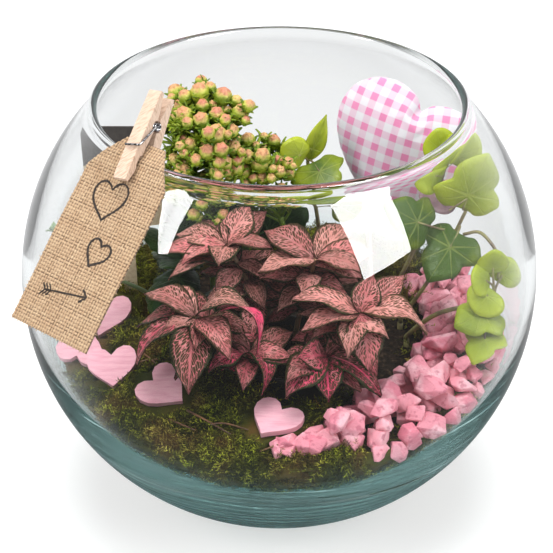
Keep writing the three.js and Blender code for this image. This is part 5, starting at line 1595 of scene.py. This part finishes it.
def jute_tag():
    """Crossing yarns as one cloth: the face rises where a yarn passes over."""
    mesh = Mesh()
    points = []
    tints = []
    uvs = []
    for face in (True, False):
        for j in range(TAG_LINES + 1):
            y = TAG_BOTTOM_Y + TAG_LENGTH * j / TAG_LINES
            half = tag_half(y)
            for i in range(TAG_COLUMNS + 1):
                x = (2 * i / TAG_COLUMNS - 1) * half
                warp, weft = math.sin(math.pi * x / WEAVE_PITCH), math.sin(math.pi * y / WEAVE_PITCH)
                column, line = math.floor(x / WEAVE_PITCH), math.floor(y / WEAVE_PITCH)
                over = (column + line) % 2 == 0
                across, along = abs(warp) ** 0.6, abs(weft) ** 0.6
                height = (across * (0.5 + 0.5 * along)) if over else (along * (0.5 + 0.5 * across))
                shade = 0.5 + 0.5 * noise.noise(Vector((column * 0.7 if over else 40 + line * 0.7, 3.1, 0)))
                lift = BACK_RELIEF - BACK_RELIEF * height
                if face:
                    lift = TAG_THICKNESS - FACE_RELIEF + FACE_RELIEF * height
                points.append(RIM @ Vector((x, y, tag_back(y) + lift + tag_wave(x, y))))
                tints.append((shade, 1.0 if over else 0.0, height))
                uvs.append((0.5 + x / UV_SPAN, 0.5 + y / UV_SPAN))
    mesh.add(points, slab_faces(TAG_LINES, TAG_COLUMNS + 1), uvs, tints)
    return mesh


def frayed_edge():
    """Loose yarn ends and stray fibres along the tag's cut edges."""
    pick = random.Random(SEEDS["fray"])
    mesh = Mesh()
    spots = []
    x = -TAG_WIDTH / 2 + 0.8
    while x < TAG_WIDTH / 2 - 0.5:
        spots.append((x, TAG_BOTTOM_Y + 0.4, 0.0, -1.0))
        x += WEAVE_PITCH * pick.uniform(0.9, 1.5)
    for side in (-1, 1):
        y = TAG_BOTTOM_Y + 1
        while y < TAG_TOP_Y - 3:
            spots.append((side * (tag_half(y) - 0.4), y, side, 0.15))
            y += WEAVE_PITCH * pick.uniform(0.9, 2.2)
    for x, y, dx, dy in spots:
        length = pick.uniform(0.5, 1.5)
        start = Vector((x, y, tag_back(y) + 0.6))
        way = Vector((dx + pick.uniform(-0.4, 0.4), dy + pick.uniform(-0.4, 0.4), pick.uniform(-0.2, 0.3)))
        way.normalize()
        rows = curve([start, start + way * length * 0.5 + Vector((0, 0, 0.12)), start + way * length], 4)
        tube(mesh, [RIM @ p for p in rows], 0.28, 0.1, 5, (pick.random(), 0.5, 0.9))
    return mesh


def ribbon_line(mesh, points, width, closed):
    """A drawn stroke that lies on the tag's face."""
    count = len(points)
    corners = []
    for i, p in enumerate(points):
        before = points[i - 1] if i or closed else p
        after = points[(i + 1) % count] if i + 1 < count or closed else p
        way = (after - before).normalized()
        uneven = 0.8 + 0.35 * noise.noise(Vector((p.x * 0.3, p.y * 0.3, 5)))
        side = Vector((-way.y, way.x)) * width / 2 * uneven
        for offset, lift in ((side, 1.22), (-side, 1.22), (-side, 1.0), (side, 1.0)):
            spot = p + offset
            corners.append(RIM @ Vector((*spot, tag_back(spot.y) + lift + tag_wave(*spot))))
    faces = []
    last = count if closed else count - 1
    for i in range(last):
        a, b = 4 * i, 4 * ((i + 1) % count)
        for k in range(4):
            n = (k + 1) % 4
            faces.append((a + k, b + k, b + n, a + n))
    if not closed:
        faces.append((0, 1, 2, 3))
        faces.append(tuple(reversed([4 * (count - 1) + k for k in range(4)])))
    mesh.add(corners, faces)


def tag_motif():
    """Plain drawn hearts and a small arrow, in the place of the tag's words."""
    mesh = Mesh()
    for centre, size, turn in (((-3, -20), 19, 8), ((5, -43), 13, -10)):
        matrix = Matrix.Rotation(math.radians(turn), 2)
        ring = [matrix @ p + Vector(centre) for p in heart_outline(size, 0.5, 12)]
        ribbon_line(mesh, ring, 1.3, True)
    shaft = [Vector((-13 + 2 * i, -66 + 0.35 * i)) for i in range(13)]
    ribbon_line(mesh, shaft, 1.1, False)
    tip = shaft[-1]
    for way in (Vector((-3.6, 2.6)), Vector((-3.2, -3.2))):
        ribbon_line(mesh, [tip + way * (i / 4) for i in range(5)], 1.1, False)
    for i in range(3):
        foot = shaft[0] + Vector((1.8 * i, 0.3 * i))
        for way in (Vector((-2.4, 2.4)), Vector((-2.0, -2.8))):
            ribbon_line(mesh, [foot + way * (k / 4) for k in range(5)], 0.9, False)
    return mesh


jute = jute_paint()
tag = jute_tag().build("tag_cloth", jute, "jute", "jute_tag")
tag.visible_glossy = False
fray = frayed_edge().build("tag_fray", jute, "jute")
INK_TONES = [(0.35, (18, 14, 12)), (0.7, (58, 44, 34))]
dark_ink = plain_paint("ink", 700.0, 4.0, INK_TONES, 0.0003, Roughness=0.7)
ink = tag_motif().build("tag_motif", dark_ink, "jute", shade=False)


# Peg
for half in ("peg_outer", "peg_inner"):
    repaint(half, birch, 0.35, 2, 35)
STEEL_TONES = [(0.3, (140, 140, 142)), (0.7, (196, 196, 198))]
steel = plain_paint("spring_wire", 600.0, 3.0, STEEL_TONES, gloss=(0.2, 0.38), Roughness=0.28, Metallic=1.0)
repaint("peg_spring_leg", steel)


COIL_RADIUS = 1.5
COIL_TURNS = 8
TURN_STEPS = 14


def leaning(points):
    """Points of the outer half, leaned about the hinge."""
    turn = Matrix.Rotation(-HALF_LEAN, 3, "X")
    lifted = Vector((0, -(HINGE_Y - JAW_END_Y), HALF_OFFSET))
    return [turn @ (Vector(p) + lifted) + Vector((0, HINGE_Y, HINGE_Z)) for p in points]


def spring():
    """Coiled wire round the hinge, with one leg over the outer half."""
    mesh = Mesh()
    side = PEG_WIDTH / 2 + LAYER_GAP + WIRE_RADIUS
    rows = []
    for i in range(COIL_TURNS * TURN_STEPS + 1):
        x = -side + 2 * side * i / (COIL_TURNS * TURN_STEPS)
        rows.append(Vector((x, *on_circle((HINGE_Y, HINGE_Z), COIL_RADIUS, math.tau * i / TURN_STEPS))))
    tube(mesh, [PEG @ p for p in rows], WIRE_RADIUS * 0.96, WIRE_RADIUS * 0.96, 8)
    face = PEG_FACE + LAYER_GAP + WIRE_RADIUS
    leg = [(side, 27.6, 0.9), (side, 21, 3.4), (side, 16.2, face * 0.94), (side * 0.6, 15.6, face),
           (-side * 0.7, 15, face)]
    tube(mesh, [PEG @ p for p in curve(leaning(leg), 22)], WIRE_RADIUS, WIRE_RADIUS, 8)
    mesh.build("spring_wire", steel, "spring_wire", "peg_spring")


spring()


# Label card
CARD_ROUNDING = 4.0
CARD_HALF_THICKNESS = 0.45
STAKE_HALF = 3.5
STAKE_END_Z = 64


def card_corner(side, z, start):
    centre = (side * (CARD_WIDTH / 2 - CARD_ROUNDING), z)
    return [on_circle(centre, CARD_ROUNDING, math.radians(start + 15 * i)) for i in range(7)]


def label_card():
    """A stiff card with rounded corners on its stake."""
    high, low = CARD_TOP_Z - CARD_ROUNDING, CARD_BOTTOM_Z + CARD_ROUNDING
    outline = card_corner(1, high, 0) + card_corner(-1, high, 90) + card_corner(-1, low, 180)
    stake = [(-1, CARD_BOTTOM_Z - 2), (-1, STAKE_END_Z + 6), (0, STAKE_END_Z), (1, STAKE_END_Z + 6),
             (1, CARD_BOTTOM_Z - 2)]
    outline += [(side * STAKE_HALF, z) for side, z in stake] + card_corner(1, low, 270)
    mesh = Mesh()
    count = len(outline)
    points = []
    for side in (-1, 1):
        points += [Vector((CARD_X + x, CARD_Y + side * CARD_HALF_THICKNESS, z)) for x, z in outline]
    faces = [tuple(range(count)), tuple(reversed(range(count, 2 * count)))]
    for i in range(count):
        n = (i + 1) % count
        faces.append((i, i + count, n + count, n))
    mesh.add(points, faces)
    face_out(mesh.build("card_board", card_paint(), "dark_card", "label_card", shade=False))


label_card()


# Camera at the photo's viewing angle
VIEW_DISTANCE = 0.8
VIEW_ELEVATION = math.radians(31.04)
VIEW_TARGET = Vector((-0.0013, 0.0, 0.1119))
FOCAL_LENGTH = 105.75
SENSOR_WIDTH = 36
lens = bpy.data.cameras.new("camera")
lens.lens = FOCAL_LENGTH
lens.sensor_width = SENSOR_WIDTH
lens.clip_start, lens.clip_end = 0.05, 20
camera = placed("camera", lens)
back = Vector((0, -math.cos(VIEW_ELEVATION), math.sin(VIEW_ELEVATION)))
camera.location = VIEW_TARGET + back * VIEW_DISTANCE
camera.rotation_mode = "QUATERNION"
camera.rotation_quaternion = (-back).to_track_quat("-Z", "Y")
bpy.context.scene.camera = camera


# Floor and light
FLOOR_SIZE = 6.0
FLOOR_DROP = 0.0003
FLOOR_GLOW = 0.42
WHITE = (1.0, 1.0, 1.0, 1.0)
SUBJECT = Vector((0, 0, 0.11))
GLASS_BOUNCES = 24
# How much height and sides add to a direction's brightness, as the glass bends light to it
SKY_RISE = 0.6
SKY_SIDES = 0.55
# Strength that lights the planting
SKY_FILL = 0.5
WINDOW_STRENGTH = 21.0
# Corners of two tall softboxes that only the glass mirrors, in metres
WINDOWS = {
    "left_window": [(-0.957, -0.158, 1.209), (-0.719, -0.458, 1.312), (-1.043, -0.783, 0.769),
                    (-1.118, -0.711, 0.723)],
    "right_window": [(0.4, -0.61, 1.5), (0.9, -0.24, 1.26), (1.21, -0.62, 0.7), (0.87, -1.14, 0.69)],
}
# Place, width and height in metres, and power
LAMPS = {
    "left_box": ((-0.95, -0.53, 1.0), 0.4, 0.7, 10),
    "right_box": ((0.88, -0.63, 1.02), 0.5, 0.7, 9),
    "top_box": ((0.0, 0.2, 1.5), 0.9, 0.9, 20),
}


def staged(name, corners, material):
    mesh = bpy.data.meshes.new(name)
    mesh.from_pydata(corners, [], [(0, 1, 2, 3)])
    mesh.materials.append(material)
    item = placed(name, mesh)
    return item


def floor():
    paint = Paint("studio_floor", Roughness=0.9, Emission_Strength=FLOOR_GLOW, Emission_Color=WHITE)
    paint.colour(paint.ramp(paint.noise(3.0, 2.0), [(0.3, (205, 205, 205)), (0.7, (209, 209, 209))]))
    corners = [(x * FLOOR_SIZE, y * FLOOR_SIZE, 0) for x, y in ((-1, -1), (1, -1), (1, 1), (-1, 1))]
    item = staged("floor", corners, paint.material)
    item.location.z = -FLOOR_DROP
    item.visible_glossy = False
    item.visible_transmission = False


def window(name, corners):
    paint = Paint(name, Roughness=1.0, Emission_Strength=WINDOW_STRENGTH, Emission_Color=WHITE)
    item = staged(name, corners, paint.material)
    item.visible_camera = False
    item.visible_diffuse = False
    item.visible_transmission = False
    item.visible_shadow = False


def lamp(name, place, width, height, power):
    data = bpy.data.lights.new(name, "AREA")
    data.shape = "RECTANGLE"
    data.size, data.size_y = width, height
    data.energy = power
    item = placed(name, data)
    item.location = place
    item.rotation_mode = "QUATERNION"
    item.rotation_quaternion = (SUBJECT - Vector(place)).to_track_quat("-Z", "Y")
    item.visible_glossy = False
    item.visible_transmission = False


def studio():
    """White room behind and above, and a dark one towards the viewer, as the glass shows them."""
    world = bpy.data.worlds.new("studio")
    world.use_nodes = True
    air = Nodes(world.node_tree)
    x, y, z = air.split(air.add("TexCoord").outputs["Generated"])
    ahead = air.sum("MULTIPLY_ADD", z, SKY_RISE, y)
    ahead = air.sum("MULTIPLY_ADD", air.sum("ABSOLUTE", x), SKY_SIDES, ahead)
    level = air.range(ahead, -0.1, 0.45, 0.2)
    mirrored = air.range(air.sum("MINIMUM", y, air.sum("ADD", z, 1.0)), 0.3, 0.6, 0.08)
    path = air.add("LightPath")
    straight = air.sum("LESS_THAN", path.outputs["Glossy Depth"], 0.5)
    reflected, scattered = path.outputs["Is Reflection Ray"], path.outputs["Is Diffuse Ray"]
    for chosen, strength in ((straight, 1.0), (reflected, mirrored), (scattered, SKY_FILL)):
        seen = air.add("Mix")
        for number, value in ((0, chosen), (2, level), (3, strength)):
            air.put(seen.inputs[number], value)
        level = seen.outputs[0]
    sky = air.tree.nodes["Background"]
    sky.inputs[0].default_value = (0.98, 0.99, 1.0, 1.0)
    air.put(sky.inputs[1], level)
    bpy.context.scene.world = world


# Light runs round inside the thick glass, by many inner reflections
paths = bpy.context.scene.cycles
paths.max_bounces = paths.glossy_bounces = paths.transmission_bounces = GLASS_BOUNCES
floor()
for name, corners in WINDOWS.items():
    window(name, corners)
for name, settings in LAMPS.items():
    lamp(name, *settings)
studio()
bpy.context.scene.view_settings.view_transform = "Standard"
